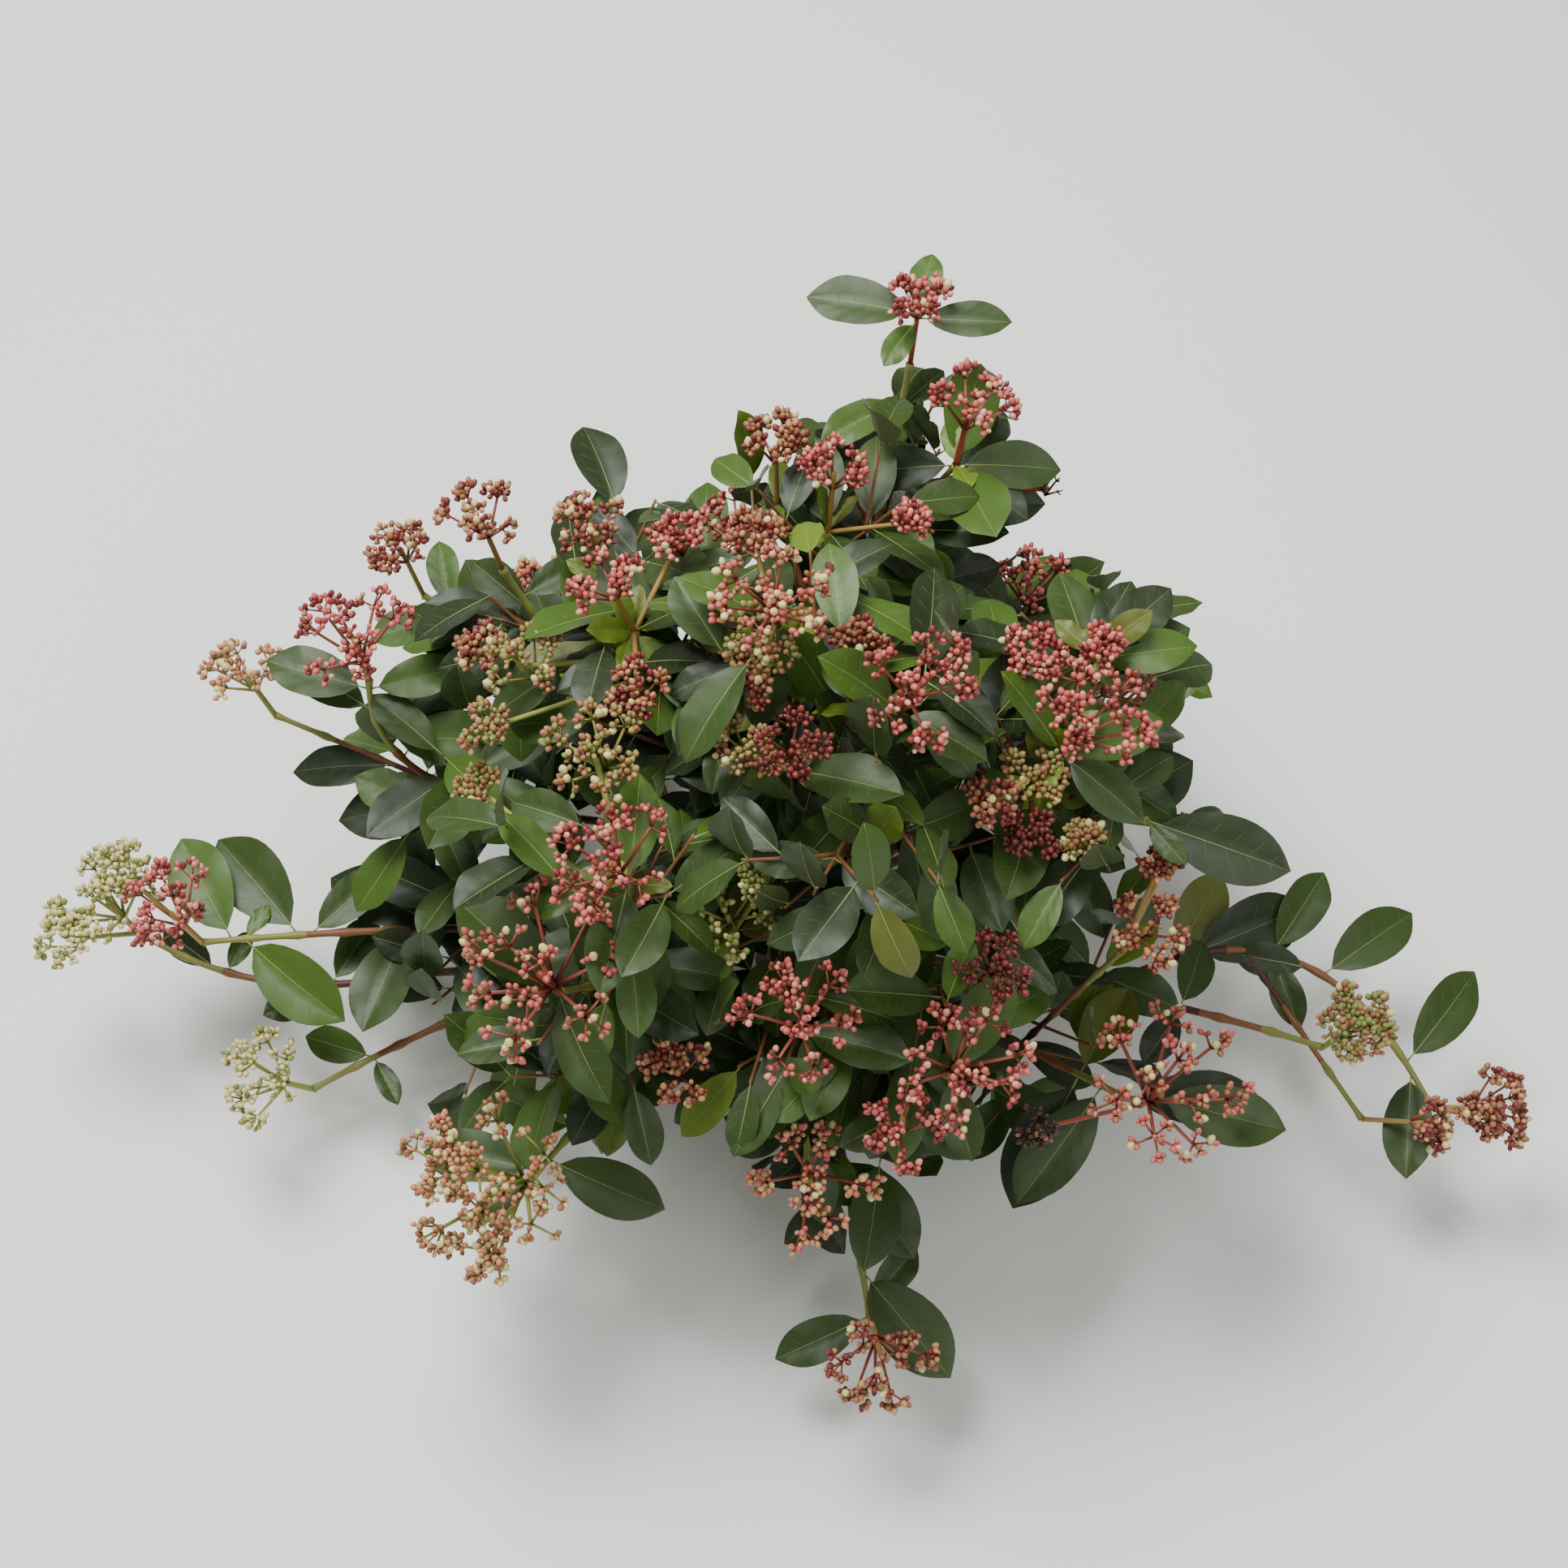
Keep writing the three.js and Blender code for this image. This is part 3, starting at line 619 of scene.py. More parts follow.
def side_twig(axil, axis, turn, leaf_length, random):
    spread = math.radians(HABIT.side_twig_spread)
    sway = math.radians(random(*HABIT.side_twig_sway))
    along = axis * math.cos(spread) + square_to(axis, turn + sway) * math.sin(spread)
    along.z += HABIT.side_twig_lift
    along.normalize()
    length = HABIT.side_twig_length * random(*HABIT.side_twig_scale)
    end = axil + along * length
    middle = axil + along * length * HABIT.middle_share
    last = end - along * HABIT.end_offset
    size = leaf_length * random(*HABIT.side_leaf_scale)
    leaves = leaf_pair(middle, along, turn, size, random, "side")
    leaves += leaf_pair(last, along, turn + math.pi / 2, size * HABIT.end_leaf_size, random, "end")
    return SimpleNamespace(start=axil, end=end, along=along, leaves=leaves)


def node_shares(way, start):
    """Where the leaves stand along a leading twig, as shares of its way."""
    count = math.floor(way.length() * (1 - start) / HABIT.internode + 0.5)
    first = HABIT.first_node_share
    return [start + (1 - start) * (i + first) / (count - 1 + first) for i in range(count)]


def in_crown(place):
    across, deep = place.x / HABIT.crown_reach[0], place.y / HABIT.crown_reach[1]
    return math.hypot(across, deep) < 1 and place.z < HABIT.crown_height


def seen(place):
    """Where the photo shows a place, across and up from its target, and how much nearer than that it is."""
    offset = place - VIEW.target
    sin, cos = math.sin(VIEW.elevation), math.cos(VIEW.elevation)
    nearer = offset.z * sin - offset.y * cos
    in_photo = Vector((offset.x, offset.y * sin + offset.z * cos))
    return in_photo * VIEW.distance / (VIEW.distance - nearer), nearer


@lru_cache
def seen_heads():
    return [(*seen(tip_place(tip)), tip.spread) for each in shoots() for _, tip in each.stalks]


def clutters(blade):
    """Whether a leaf hides a head from the photo's side or stands in a gap between the shoots."""
    for share in HABIT.seen_shares:
        place, nearer = seen(blade.root + blade.along * blade.length * share)
        if any((place - each.middle).length < each.radius for each in GAPS):
            return True
        for head_place, head_nearer, spread in seen_heads():
            if nearer > head_nearer and (place - head_place).length < spread * HABIT.head_window:
                return True
    return False


def outer_leaf(each, limbs, tips, random):
    """A leaf that stands where the photo shows it, its face turned up and to the front."""
    azimuth, slope = math.radians(each.azimuth), math.radians(each.slope)
    root = limbs[each.limb].point(min(each.at, 1))
    if each.at > 1:
        tip = tips[each.limb]
        root = stalk_foot(tip).lerp(tip_place(tip), each.at - 1)
    level = Vector((math.cos(azimuth), math.sin(azimuth), 0))
    along = level * math.cos(slope) + UP * math.sin(slope)
    face = UP + Vector((random(*HABIT.outer_sway), random(*HABIT.outer_sway) - HABIT.outer_tilt, 0))
    face = (face - along * face.dot(along)).normalized()
    return SimpleNamespace(
        root=root + along * LEAF.root_offset, along=along, side=face.cross(along), face=face,
        length=each.length, kind="outer", tone=each.tone,
    )


def grow_along(way, start, tip, leaf_length, random, grown, outer):
    """Leaves and side twigs at every node of a leading twig. Where the shoot's outer leaves are placed one by
    one, these grow only inside the crown."""
    shares = node_shares(way, start)
    for i, t in enumerate(shares, 1):
        node, axis = way.point(t), way.tangent(t)
        if outer and not in_crown(node):
            continue
        turn = i * math.pi / 2 + math.radians(random(*HABIT.turn_sway))
        size = leaf_length * random(*HABIT.leaf_scale)
        kind = "top" if i == len(shares) else "leading"
        grown.leaves += leaf_pair(node, axis, turn, size, random, kind)
        if i < len(shares):
            axil = node + axis * HABIT.axil_offset
            for way_round in (0, math.pi):
                grown.side_twigs.append(side_twig(axil, axis, turn + way_round, leaf_length, random))
    if not tip.spread and not outer:
        size = leaf_length * LEAF.young_size
        grown.leaves += leaf_pair(way.point(1), way.tangent(1), 0, size, random, "young")


def cut_back(twig, leaves):
    """A side twig that has lost its end leaves stops at its middle pair."""
    if all(blade.kind != "end" for blade in leaves):
        twig.end = twig.start.lerp(twig.end, HABIT.middle_share + HABIT.stub_share)


def shrinks_to_room(blade, has_room, scale=1):
    """Whether the leaf has room at one of its sizes. It keeps the largest of them."""
    full = blade.length
    for size in LEAF.sizes:
        blade.length = full * size * scale
        if has_room(blade):
            return True
    return False


def with_room(index, grown, lines, outer, fixed):
    """Leaves and side twigs that have room, each leaf smaller where it has none at its full size."""
    kept, side_twigs = [*outer], []
    halves = [*fixed]

    def take(blades, near):
        def has_room(blade):
            return leaf_fits(index, blade) and not meets_own(blade_halves(blade), halves, near, grown.heads)

        taken = []
        for blade in blades:
            if shrinks_to_room(blade, has_room):
                taken.append(blade)
                halves.extend(blade_halves(blade))
        kept.extend(taken)
        return taken

    take(grown.leaves, lines)
    for each in reversed(grown.side_twigs):
        line = (each.start, each.end)
        if not twig_fits(index, *line) or any(line_meets(line, half) for half in halves):
            continue
        taken = take(each.leaves, [*lines, line])
        if taken:
            cut_back(each, taken)
            lines.append((each.start, each.end))
            side_twigs.append(each)
    return kept, side_twigs


@lru_cache
def foliage(leaf_length):
    """What grows on every shoot: its leaves, side twigs, stalks and heads."""
    plants = []
    for index, each in enumerate(shoots()):
        random = seeded_random(HABIT.first_seed + HABIT.seed_step * index)
        limbs = [each.way, *each.side_ways]
        outer = [outer_leaf(one, limbs, each.tips, random) for one in OUTER_LEAVES.get(each.name, ())]
        plants.append(SimpleNamespace(shoot=each, random=random, limbs=limbs, outer=outer))
    fixed = [half for plant in plants for blade in plant.outer for half in blade_halves(blade)]
    for index, plant in enumerate(plants):
        grow_plant(index, plant, fixed, leaf_length)
    fill_crown(plants, leaf_length)
    for plant in plants:
        plant.leaves += young_pairs(plant, leaf_length)
    return plants


def grow_plant(index, plant, fixed, leaf_length):
    """Grows one shoot around the outer leaves of all shoots, which are fixed."""
    each = plant.shoot
    grown = SimpleNamespace(leaves=[], side_twigs=[])
    grown.stalks = [(foot, tip_place(tip)) for foot, tip in each.stalks]
    grown.heads = [
        SimpleNamespace(centre=tip_place(tip), along=stalk_direction(tip), spread=tip.spread, hue=tip.hue)
        for _, tip in each.stalks
    ]
    plant.start = BOUGH.share + CLEARANCE / each.way.length()
    starts = [plant.start] + [0] * len(each.side_ways)
    for way, start, tip in zip(plant.limbs, starts, each.tips):
        grow_along(way, start, tip, leaf_length, plant.random, grown, plant.outer)
    lines = [*grown.stalks, *each.way.lines(plant.start, TWIG.test_lines)]
    for way in each.side_ways:
        lines += way.lines(0, TWIG.test_lines)
    plant.leaves, plant.side_twigs = with_room(index, grown, lines, plant.outer, fixed)
    plant.stalks, plant.heads = grown.stalks, grown.heads


def young_pairs(plant, leaf_length):
    """Small young leaves at the foot of each stalk that rises from the crown."""
    random = seeded_random(len(plant.leaves))
    pairs = []
    for foot, top in plant.stalks:
        if not in_crown(foot):
            continue
        along = (top - foot).normalized()
        size = leaf_length * HABIT.young_pair_share * random(*HABIT.young_pair_scale)
        pairs += leaf_pair(foot, along, random(0, math.pi), size, random, "young")
    return pairs


# Finer twigs, which fill the crown around the stem


class Space:
    """Where the leaves and twigs of the whole shrub already are."""

    def __init__(self, plants):
        self.halves, self.lines = [], []
        self.leaf_middles, self.line_middles = np.empty((0, 3)), np.empty((0, 3))
        for plant in plants:
            for blade in plant.leaves:
                self.add_leaf(blade)
            lines = [(each.start, each.end) for each in plant.side_twigs]
            lines += [*plant.stalks, *plant.shoot.way.lines(0, 2 * TWIG.test_lines)]
            for way in plant.shoot.side_ways:
                lines += way.lines(0, TWIG.test_lines)
            for line in lines:
                self.add_line(line)

    def add_leaf(self, blade):
        self.halves.append(blade_halves(blade))
        self.leaf_middles = np.vstack([self.leaf_middles, blade.root + blade.along * blade.length / 2])

    def add_line(self, line):
        self.lines.append(line)
        self.line_middles = np.vstack([self.line_middles, (line[0] + line[1]) / 2])

    def halves_near(self, place, reach):
        near = np.linalg.norm(self.leaf_middles - np.array(place), axis=1) < reach
        return [half for i in np.flatnonzero(near) for half in self.halves[i]]

    def lines_near(self, place, reach):
        near = np.linalg.norm(self.line_middles - np.array(place), axis=1) < reach
        return [self.lines[i] for i in np.flatnonzero(near)]

    def leaf_has_room(self, blade):
        corners = leaf_corners(blade)
        if min(corner.z for corner in corners) <= GROUND_MARGIN or clutters(blade):
            return False
        if not leaf_is_clear(blade, slice(None), HABIT.own_twig_share * blade.length):
            return False
        middle = blade.root + blade.along * blade.length / 2
        halves = self.halves_near(middle, blade.length * HABIT.leaf_search)
        lines = self.lines_near(middle, blade.length * HABIT.line_search)
        return not meets_own(blade_halves(blade), halves, lines, [])

    def twig_has_room(self, twig):
        start = twig.start + twig.along * HABIT.axil_room
        if min(start.z, twig.end.z) <= GROUND_MARGIN or not twig_is_clear(start, twig.end, slice(None)):
            return False
        reach = HABIT.twig_search * HABIT.side_twig_length
        halves = self.halves_near((twig.start + twig.end) / 2, reach)
        return not any(line_meets((twig.start, twig.end), half) for half in halves)


def fill_crown(plants, leaf_length):
    """Short twigs on the boughs and in the axils of other twigs, wherever they and a leaf have room."""
    space = Space(plants)
    random = seeded_random(HABIT.first_seed)
    for plant in plants:
        axils = spur_axils(plant)
        while axils:
            node, axis, turn, order = axils.pop(0)
            if not in_crown(node):
                continue
            for way_round in (0, math.pi):
                twig = side_twig(node, axis, turn + way_round, leaf_length, random)
                if take_twig(twig, space, plant) and order < HABIT.finest_order:
                    axils.append(middle_axil(twig, order + 1))


def middle_axil(twig, order):
    return (twig.start + twig.end) / 2, twig.along, math.pi / 2, order


def spur_axils(plant):
    """Where short twigs may leave a plant's limbs and side twigs: place, axis, turn and order."""
    way = plant.shoot.way
    first = HABIT.spur_start_share
    steps = math.floor(way.length() / HABIT.spur_step)
    axils = []
    for i in range(steps):
        t = first + (1 - first) * i / steps
        axils.append((way.point(t), way.tangent(t), i * math.pi / 2, 1))
    for side_way in plant.shoot.side_ways:
        steps = math.floor(side_way.length() / HABIT.spur_step)
        axils += [(side_way.point(i / steps), side_way.tangent(i / steps), i, 1) for i in range(1, steps)]
    return axils + [middle_axil(twig, 2) for twig in plant.side_twigs]


def take_twig(twig, space, plant):
    """Adds the twig to the plant with those of its leaves that have room, if any has."""
    if not space.twig_has_room(twig):
        return False
    kept = []
    for blade in twig.leaves:
        if shrinks_to_room(blade, space.leaf_has_room, HABIT.finer_leaf_share):
            kept.append(blade)
            space.add_leaf(blade)
    if kept:
        cut_back(twig, kept)
        space.add_line((twig.start, twig.end))
        plant.side_twigs.append(twig)
        plant.leaves += kept
    return bool(kept)


# Joined meshes from arrays. Places of a pattern that differ by less than NEAR count as the same, and no
# vector is divided by a length under SHORTEST.

NEAR = 1e-3
SHORTEST = 1e-12


def take_pattern(source):
    """A small mesh as arrays, ready to be repeated: points, the corners of its faces and their sizes."""
    mesh = source.data
    points = np.empty(len(mesh.vertices) * 3)
    mesh.vertices.foreach_get("co", points)
    corners = np.empty(len(mesh.loops), int)
    mesh.loops.foreach_get("vertex_index", corners)
    sizes = np.array([len(face.vertices) for face in mesh.polygons])
    bpy.data.objects.remove(source)
    return SimpleNamespace(points=points.reshape(-1, 3), corners=corners, sizes=sizes)


def in_fixed_order(pattern):
    """The pattern with its points and faces in an order that is the same each run, which a sphere's isn't."""
    order = np.lexsort(pattern.points.round(3).T)
    rank = np.argsort(order)
    faces = np.split(rank[pattern.corners], np.cumsum(pattern.sizes)[:-1])
    faces = sorted(tuple(np.roll(face, -face.argmin())) for face in faces)
    sizes = np.array([len(face) for face in faces])
    return SimpleNamespace(points=pattern.points[order], corners=np.concatenate(faces), sizes=sizes)


def joined_piece(name, places, pattern, finishes, slots=None, sharp=None):
    """One object that holds a copy of the pattern for each row of places. Slots give each face of the pattern
    its finish, and edges between two of its sharp points stay sharp."""
    copies, count = places.shape[:2]
    corners = (pattern.corners + count * np.arange(copies)[:, None]).ravel()
    sizes = np.tile(pattern.sizes, copies)
    mesh = bpy.data.meshes.new(name)
    mesh.vertices.add(copies * count)
    mesh.vertices.foreach_set("co", places.astype(np.float32).ravel())
    mesh.loops.add(len(corners))
    mesh.loops.foreach_set("vertex_index", corners.astype(np.int32))
    mesh.polygons.add(len(sizes))
    mesh.polygons.foreach_set("loop_start", (np.cumsum(sizes) - sizes).astype(np.int32))
    for finish in finishes:
        mesh.materials.append(finish)
    if slots is not None:
        mesh.polygons.foreach_set("material_index", np.tile(slots, copies).astype(np.int32))
    mesh.update(calc_edges=True)
    mesh.shade_smooth()
    if sharp is not None:
        ends = np.empty(len(mesh.edges) * 2, np.int32)
        mesh.edges.foreach_get("vertices", ends)
        on_margin = np.tile(sharp, copies)[ends.reshape(-1, 2)].all(1)
        mesh.attributes.new("sharp_edge", "BOOLEAN", "EDGE").data.foreach_set("value", on_margin)
    piece = bpy.data.objects.new(name, mesh)
    bpy.context.collection.objects.link(piece)
    settle(piece, mass_nodes())


def mass_nodes():
    return [name for name in frame["nodes"] if name.startswith("mass_")]


def settle(piece, nodes):
    """The finished piece rides on the shrub and stands for its solids."""
    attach(piece, BODY)
    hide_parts(*nodes)


@contextmanager
def edit_mode():
    bpy.ops.object.mode_set(mode="EDIT")
    yield
    bpy.ops.object.mode_set(mode="OBJECT")


def tube_pattern(sides, steps):
    """A closed tube from a cylinder that is cut across into steps."""
    bpy.ops.mesh.primitive_cylinder_add(vertices=sides, radius=1, depth=1, end_fill_type="NGON")
    tube = bpy.context.object
    if steps > 1:
        cut_across(tube, steps)
    return take_pattern(tube)


def cut_across(tube, steps):
    """Cuts a cylinder across by subdividing its long edges, which span its whole depth."""
    with edit_mode():
        bpy.ops.mesh.select_mode(type="EDGE")
        bpy.ops.mesh.select_all(action="DESELECT")
    for edge in tube.data.edges:
        low, high = (tube.data.vertices[i].co for i in edge.vertices)
        edge.select = abs(low.z - high.z) > NEAR
    with edit_mode():
        bpy.ops.mesh.subdivide(number_cuts=steps - 1)
        bpy.ops.mesh.select_mode(type="VERT")


def unit(vectors):
    return vectors / np.maximum(np.linalg.norm(vectors, axis=-1, keepdims=True), SHORTEST)


def tube_places(pattern, centres, radii):
    """Places of tubes that follow rows of centres, one row for each tube."""
    steps = centres.shape[1] - 1
    tangents = unit(np.gradient(centres, axis=1))
    chord = unit(centres[:, -1] - centres[:, 0])
    least = np.eye(3)[np.abs(chord).argmin(1)]
    aside = unit(np.cross(chord, least))[:, None]
    out = unit(np.cross(tangents, np.broadcast_to(aside, tangents.shape)))
    side = np.cross(tangents, out)
    ring = np.rint((pattern.points[:, 2] + 0.5) * steps).astype(int)
    x, y = pattern.points[:, 0, None], pattern.points[:, 1, None]
    return centres[:, ring] + radii[:, ring, None] * (out[:, ring] * x + side[:, ring] * y)


# Leaves


# How leaves differ: ranges of the width as a share of the usual one, the slope of the fold, the droop and the
# sideways bend as shares of the length, the twist in radians and the height of the waves

VARIETY = SimpleNamespace(
    width=(0.86, 1.1), fold=(0.12, 0.38), droop=(0.06, 0.2), bend=(-0.06, 0.06), twist=(-0.28, 0.28),
    wave=(0.4, 1.2),
)

# What all leaves share: how late the droop and the margin's roll set in, the number of waves, where the
# midrib ends and how much it tapers, and that a side vein runs along every second row of faces

BLADE = SimpleNamespace(droop_power=2.4, roll_power=5, waves=2.5, rib_end=0.98, rib_taper=0.75, vein_rows=2)


def leaf_pattern(rows, columns):
    """A leaf's two faces, closed along the margin. Each point has its share of the length, its share of the
    half width, and 1 on the upper face, -1 on the lower one or 0 on the margin."""
    bpy.ops.mesh.primitive_grid_add(x_subdivisions=rows, y_subdivisions=columns, size=1)
    blade = bpy.context.object
    for end in (-0.5, 0.5):
        with edit_mode():
            bpy.ops.mesh.select_all(action="DESELECT")
        for vertex in blade.data.vertices:
            vertex.select = abs(vertex.co.x - end) < NEAR
        with edit_mode():
            bpy.ops.mesh.merge(type="CENTER")
    with edit_mode():
        bpy.ops.mesh.select_all(action="SELECT")
        bpy.ops.mesh.quads_convert_to_tris(quad_method="FIXED")
    flat = take_pattern(blade)
    along, across = flat.points[:, 0] + 0.5, 2 * flat.points[:, 1]
    margin = (np.abs(across) > 1 - NEAR) | (along < NEAR) | (along > 1 - NEAR)
    count = len(along)
    below = np.where(margin, np.arange(count), count - 1 + np.cumsum(~margin))
    points = np.concatenate([
        np.stack([along, across, np.where(margin, 0, 1)], 1),
        np.stack([along, across, np.full(count, -1)], 1)[~margin],
    ])
    lower = below[flat.corners.reshape(-1, 3)[:, ::-1]].ravel()
    return SimpleNamespace(
        points=points,
        corners=np.concatenate([flat.corners, lower]),
        sizes=np.tile(flat.sizes, 2),
        slots=np.repeat([0, 1], len(flat.sizes)),
        margin=points[:, 2] == 0,
    )


def leaf_arrays(blades, sizes, random):
    """The blades' frames as arrays, with what differs from leaf to leaf."""
    ranges = vars(VARIETY)
    drawn = np.array([[random(*ends) for ends in ranges.values()] for _ in blades])
    arrays = SimpleNamespace(
        root=np.array([blade.root for blade in blades]),
        frames=np.array([[blade.along, blade.side, blade.face] for blade in blades]),
        length=np.array([blade.length for blade in blades]),
        **dict(zip(ranges, drawn.T)),
    )
    arrays.width = arrays.width * sizes.leaf_width
    return arrays


def midline(arrays, share):
    """Sideways and upward places of the midrib, as shares of the length."""
    share = np.broadcast_to(share, (len(arrays.length), share.shape[-1]))
    return arrays.bend[:, None] * share**2, -arrays.droop[:, None] * share**BLADE.droop_power


def in_leaf_frames(arrays, local):
    return arrays.root[:, None] + np.einsum("npk,nkc->npc", local, arrays.frames)


def blade_places(arrays, sizes, pattern):
    """The blades: folded along the midrib, sunk a little along each side vein, with a wavy, rolled margin.
    The relief is full halfway between the midrib and the margin."""
    s, v, w = pattern.points.T
    peak = sizes.leaf_base / (sizes.leaf_base + sizes.leaf_point)
    outline = (s / peak) ** sizes.leaf_base * ((1 - s) / (1 - peak)) ** sizes.leaf_point
    edge = np.abs(v)
    swell = np.sin(np.pi * s)
    share = sizes.petiole + (1 - sizes.petiole) * (s + sizes.vein_slant * edge * swell)
    length = arrays.length[:, None]
    half = arrays.width[:, None] * length / 2 * outline * v
    sideways, upward = midline(arrays, share)
    on_vein = np.rint(s * sizes.leaf_rows) % BLADE.vein_rows == 0
    sunk = np.where(on_vein, -1, 1) * 4 * edge * (1 - edge) * swell
    wave = np.sin(BLADE.waves * math.tau * s + v) * edge**2 * swell
    roll = sizes.margin_roll * edge**BLADE.roll_power * swell
    rise = arrays.fold[:, None] * np.abs(half) + sizes.vein_relief * sunk - roll
    rise = rise + sizes.margin_wave * arrays.wave[:, None] * wave
    twist = arrays.twist[:, None] * share
    x = share * length
    y = sideways * length + half * np.cos(twist)
    z = upward * length + rise + half * np.sin(twist) + w * sizes.leaf_thickness / 2
    return in_leaf_frames(arrays, np.stack([x, y, z], -1))


def rib_centres(arrays, sizes, steps):
    share = np.linspace(0, BLADE.rib_end, steps + 1)[None]
    sideways, upward = midline(arrays, share)
    length = arrays.length[:, None]
    x = np.broadcast_to(share * length, upward.shape)
    lift = sizes.leaf_thickness / 2
    return in_leaf_frames(arrays, np.stack([x, sideways * length, upward * length + lift], -1))


def rib_radii(arrays, sizes, steps):
    share = np.linspace(0, 1, steps + 1)
    rib = sizes.rib_radius * (1 - BLADE.rib_taper * share)
    radii = np.where(share <= sizes.petiole, sizes.petiole_radius, rib)
    return np.broadcast_to(radii, (len(arrays.length), steps + 1))


def vein_centres(places, pattern, rows, columns):
    """Side veins, which run from the midrib along every second row of the blade's upper face."""
    row = np.rint(pattern.points[:, 0] * rows).astype(int)
    column = np.rint(pattern.points[:, 1] * columns / 2).astype(int)
    above = pattern.points[:, 2] == 1
    veins = []
    for i in range(BLADE.vein_rows, rows - 1, BLADE.vein_rows):
        for way in (1, -1):
            steps = range(0, way * columns // 2, way)
            chosen = [int(np.flatnonzero(above & (row == i) & (column == j))[0]) for j in steps]
            veins.append(places[:, chosen])
    return np.concatenate(veins)


# A blemish on one leaf: where the photo shows the leaf's middle, across and up from its target, and how near
# to that place the leaf is looked for. The spot's place along and across the blade and its reach are shares,
# it lies above the blade by the lift, in half thicknesses, and it is wider across by the breadth.

BLEMISH = SimpleNamespace(
    place=Vector((31, 110)) * MM, window=12 * MM, along=0.7, across=0.2, lift=3.5, reach=0.08, breadth=4,
    corners=9, raggedness=(0.4, 1),
)


def blemished(blades):
    """The number of the leaf that is nearest to the camera where the photo shows a brown spot."""

    def nearness(blade):
        place, nearer = seen(blade.root + blade.along * blade.length / 2)
        return nearer if (place - BLEMISH.place).length < BLEMISH.window else -math.inf

    return max(range(len(blades)), key=lambda i: nearness(blades[i]))


def spot_pattern(random):
    """A ragged spot just above a blade, from a flat cylinder, with points in the same terms as a leaf's."""
    count = BLEMISH.corners
    bpy.ops.mesh.primitive_cylinder_add(vertices=count, radius=1, depth=1, end_fill_type="TRIFAN")
    spot = take_pattern(bpy.context.object)
    x, y, z = spot.points.T
    corner = np.rint(np.arctan2(y, x) * count / math.tau).astype(int) % count
    reach = BLEMISH.reach * np.array([random(*BLEMISH.raggedness) for _ in range(count)])[corner]
    along, across = BLEMISH.along + reach * x, BLEMISH.across + BLEMISH.breadth * reach * y
    spot.points = np.stack([along, across, BLEMISH.lift + z], 1)
    return spot


# Heads of buds. Heights and reaches are shares of the head's spread, from its hub, and radii are shares of a
# main ray's. Leans and tilts are in radians, and a pair of numbers is a range.

DOME = SimpleNamespace(
    hub_depth=0.6,
    least_outer_rays=3.4,
    outer_ray_step=12 * MM,
    inner_ray_step=18 * MM,
    ray_sway=(-0.25, 0.25),
    outer_reach=(0.5, 0.76),
    inner_reach=(0.08, 0.34),
    edge_height=0.6,
    bulge=0.3,
    height_sway=(-0.1, 0.1),
    ray_taper=0.7,
    narrow_head_rays=0.6,
    narrow_head_forks=0.7,
    forks=(2.8, 5),
    middle_lean=(0, 0.3),
    fork_lean=(0.6, 1.2),
    fork_reach=(0.11, 0.25),
    fork_least=1 * MM,
    fork_radii=(0.6, 0.45),
    bud_count=(1.6, 4),
    bud_tilt=(0.5, 1.1),
    bud_sway=(-0.2, 0.2),
    bud_scale=(0.75, 1.2),
    pedicel_scale=(0.8, 1.5),
    pedicel_radii=(0.4, 0.7),
    pale_bud_scale=1.25,
)

# How much narrower a bud gets towards its tip, evenly and in a curve
BUD_TAPER = (0.22, 0.1)


def frame_of(axis):
    first = axis.orthogonal().normalized()
    return first, axis.cross(first)


def spread_out(axis, lean, azimuth):
    """A direction that leans away from the axis."""
    first, second = frame_of(axis)
    sideways = first * math.cos(azimuth) + second * math.sin(azimuth)
    return axis * math.cos(lean) + sideways * math.sin(lean)


def bunch(each, sizes, random):
    """A head: main rays part at the top of its stalk and end on a dome, where each forks into short rays that
    bear a close clump of buds."""
    axis, spread = each.along, each.spread
    hub = each.centre - axis * spread * DOME.hub_depth
    radius = ray_radius(sizes, spread)
    made = SimpleNamespace(rays=[], buds=[])
    outer = round(DOME.least_outer_rays + spread / DOME.outer_ray_step)
    inner = max(1, round(spread / DOME.inner_ray_step))
    turn = random(0, math.tau)
    for i in range(outer + inner):
        around = (i + random(*DOME.ray_sway)) / outer if i < outer else i / inner
        out = random(*(DOME.outer_reach if i < outer else DOME.inner_reach))
        rise = DOME.edge_height + DOME.bulge * (1 - out**2) + random(*DOME.height_sway)
        sideways = spread_out(axis, math.pi / 2, turn + math.tau * around)
        fork = hub + (sideways * out + axis * rise) * spread
        made.rays.append((hub, fork, radius, radius * DOME.ray_taper))
        add_clump(made, fork, (sideways * out + axis).normalized(), spread, sizes, random)
    places = moved_apart(np.array([bud.place for bud in made.buds]), sizes.bud_width)
    for bud, place in zip(made.buds, places):
        bud.place = Vector(place)
        bud.along = (bud.place - bud.knot + axis * sizes.pedicel).normalized()
        bud.size = random(*DOME.bud_scale)
    return made


def by_spread(sizes, spread, narrow):
    """A share that is 1 for a usual head and falls to the narrow one for a head without any spread."""
    return narrow + (1 - narrow) * spread / sizes.head_spread


def ray_radius(sizes, spread):
    """Rays and stalks are thicker under a wide head."""
    return sizes.ray_radius * by_spread(sizes, spread, DOME.narrow_head_rays)


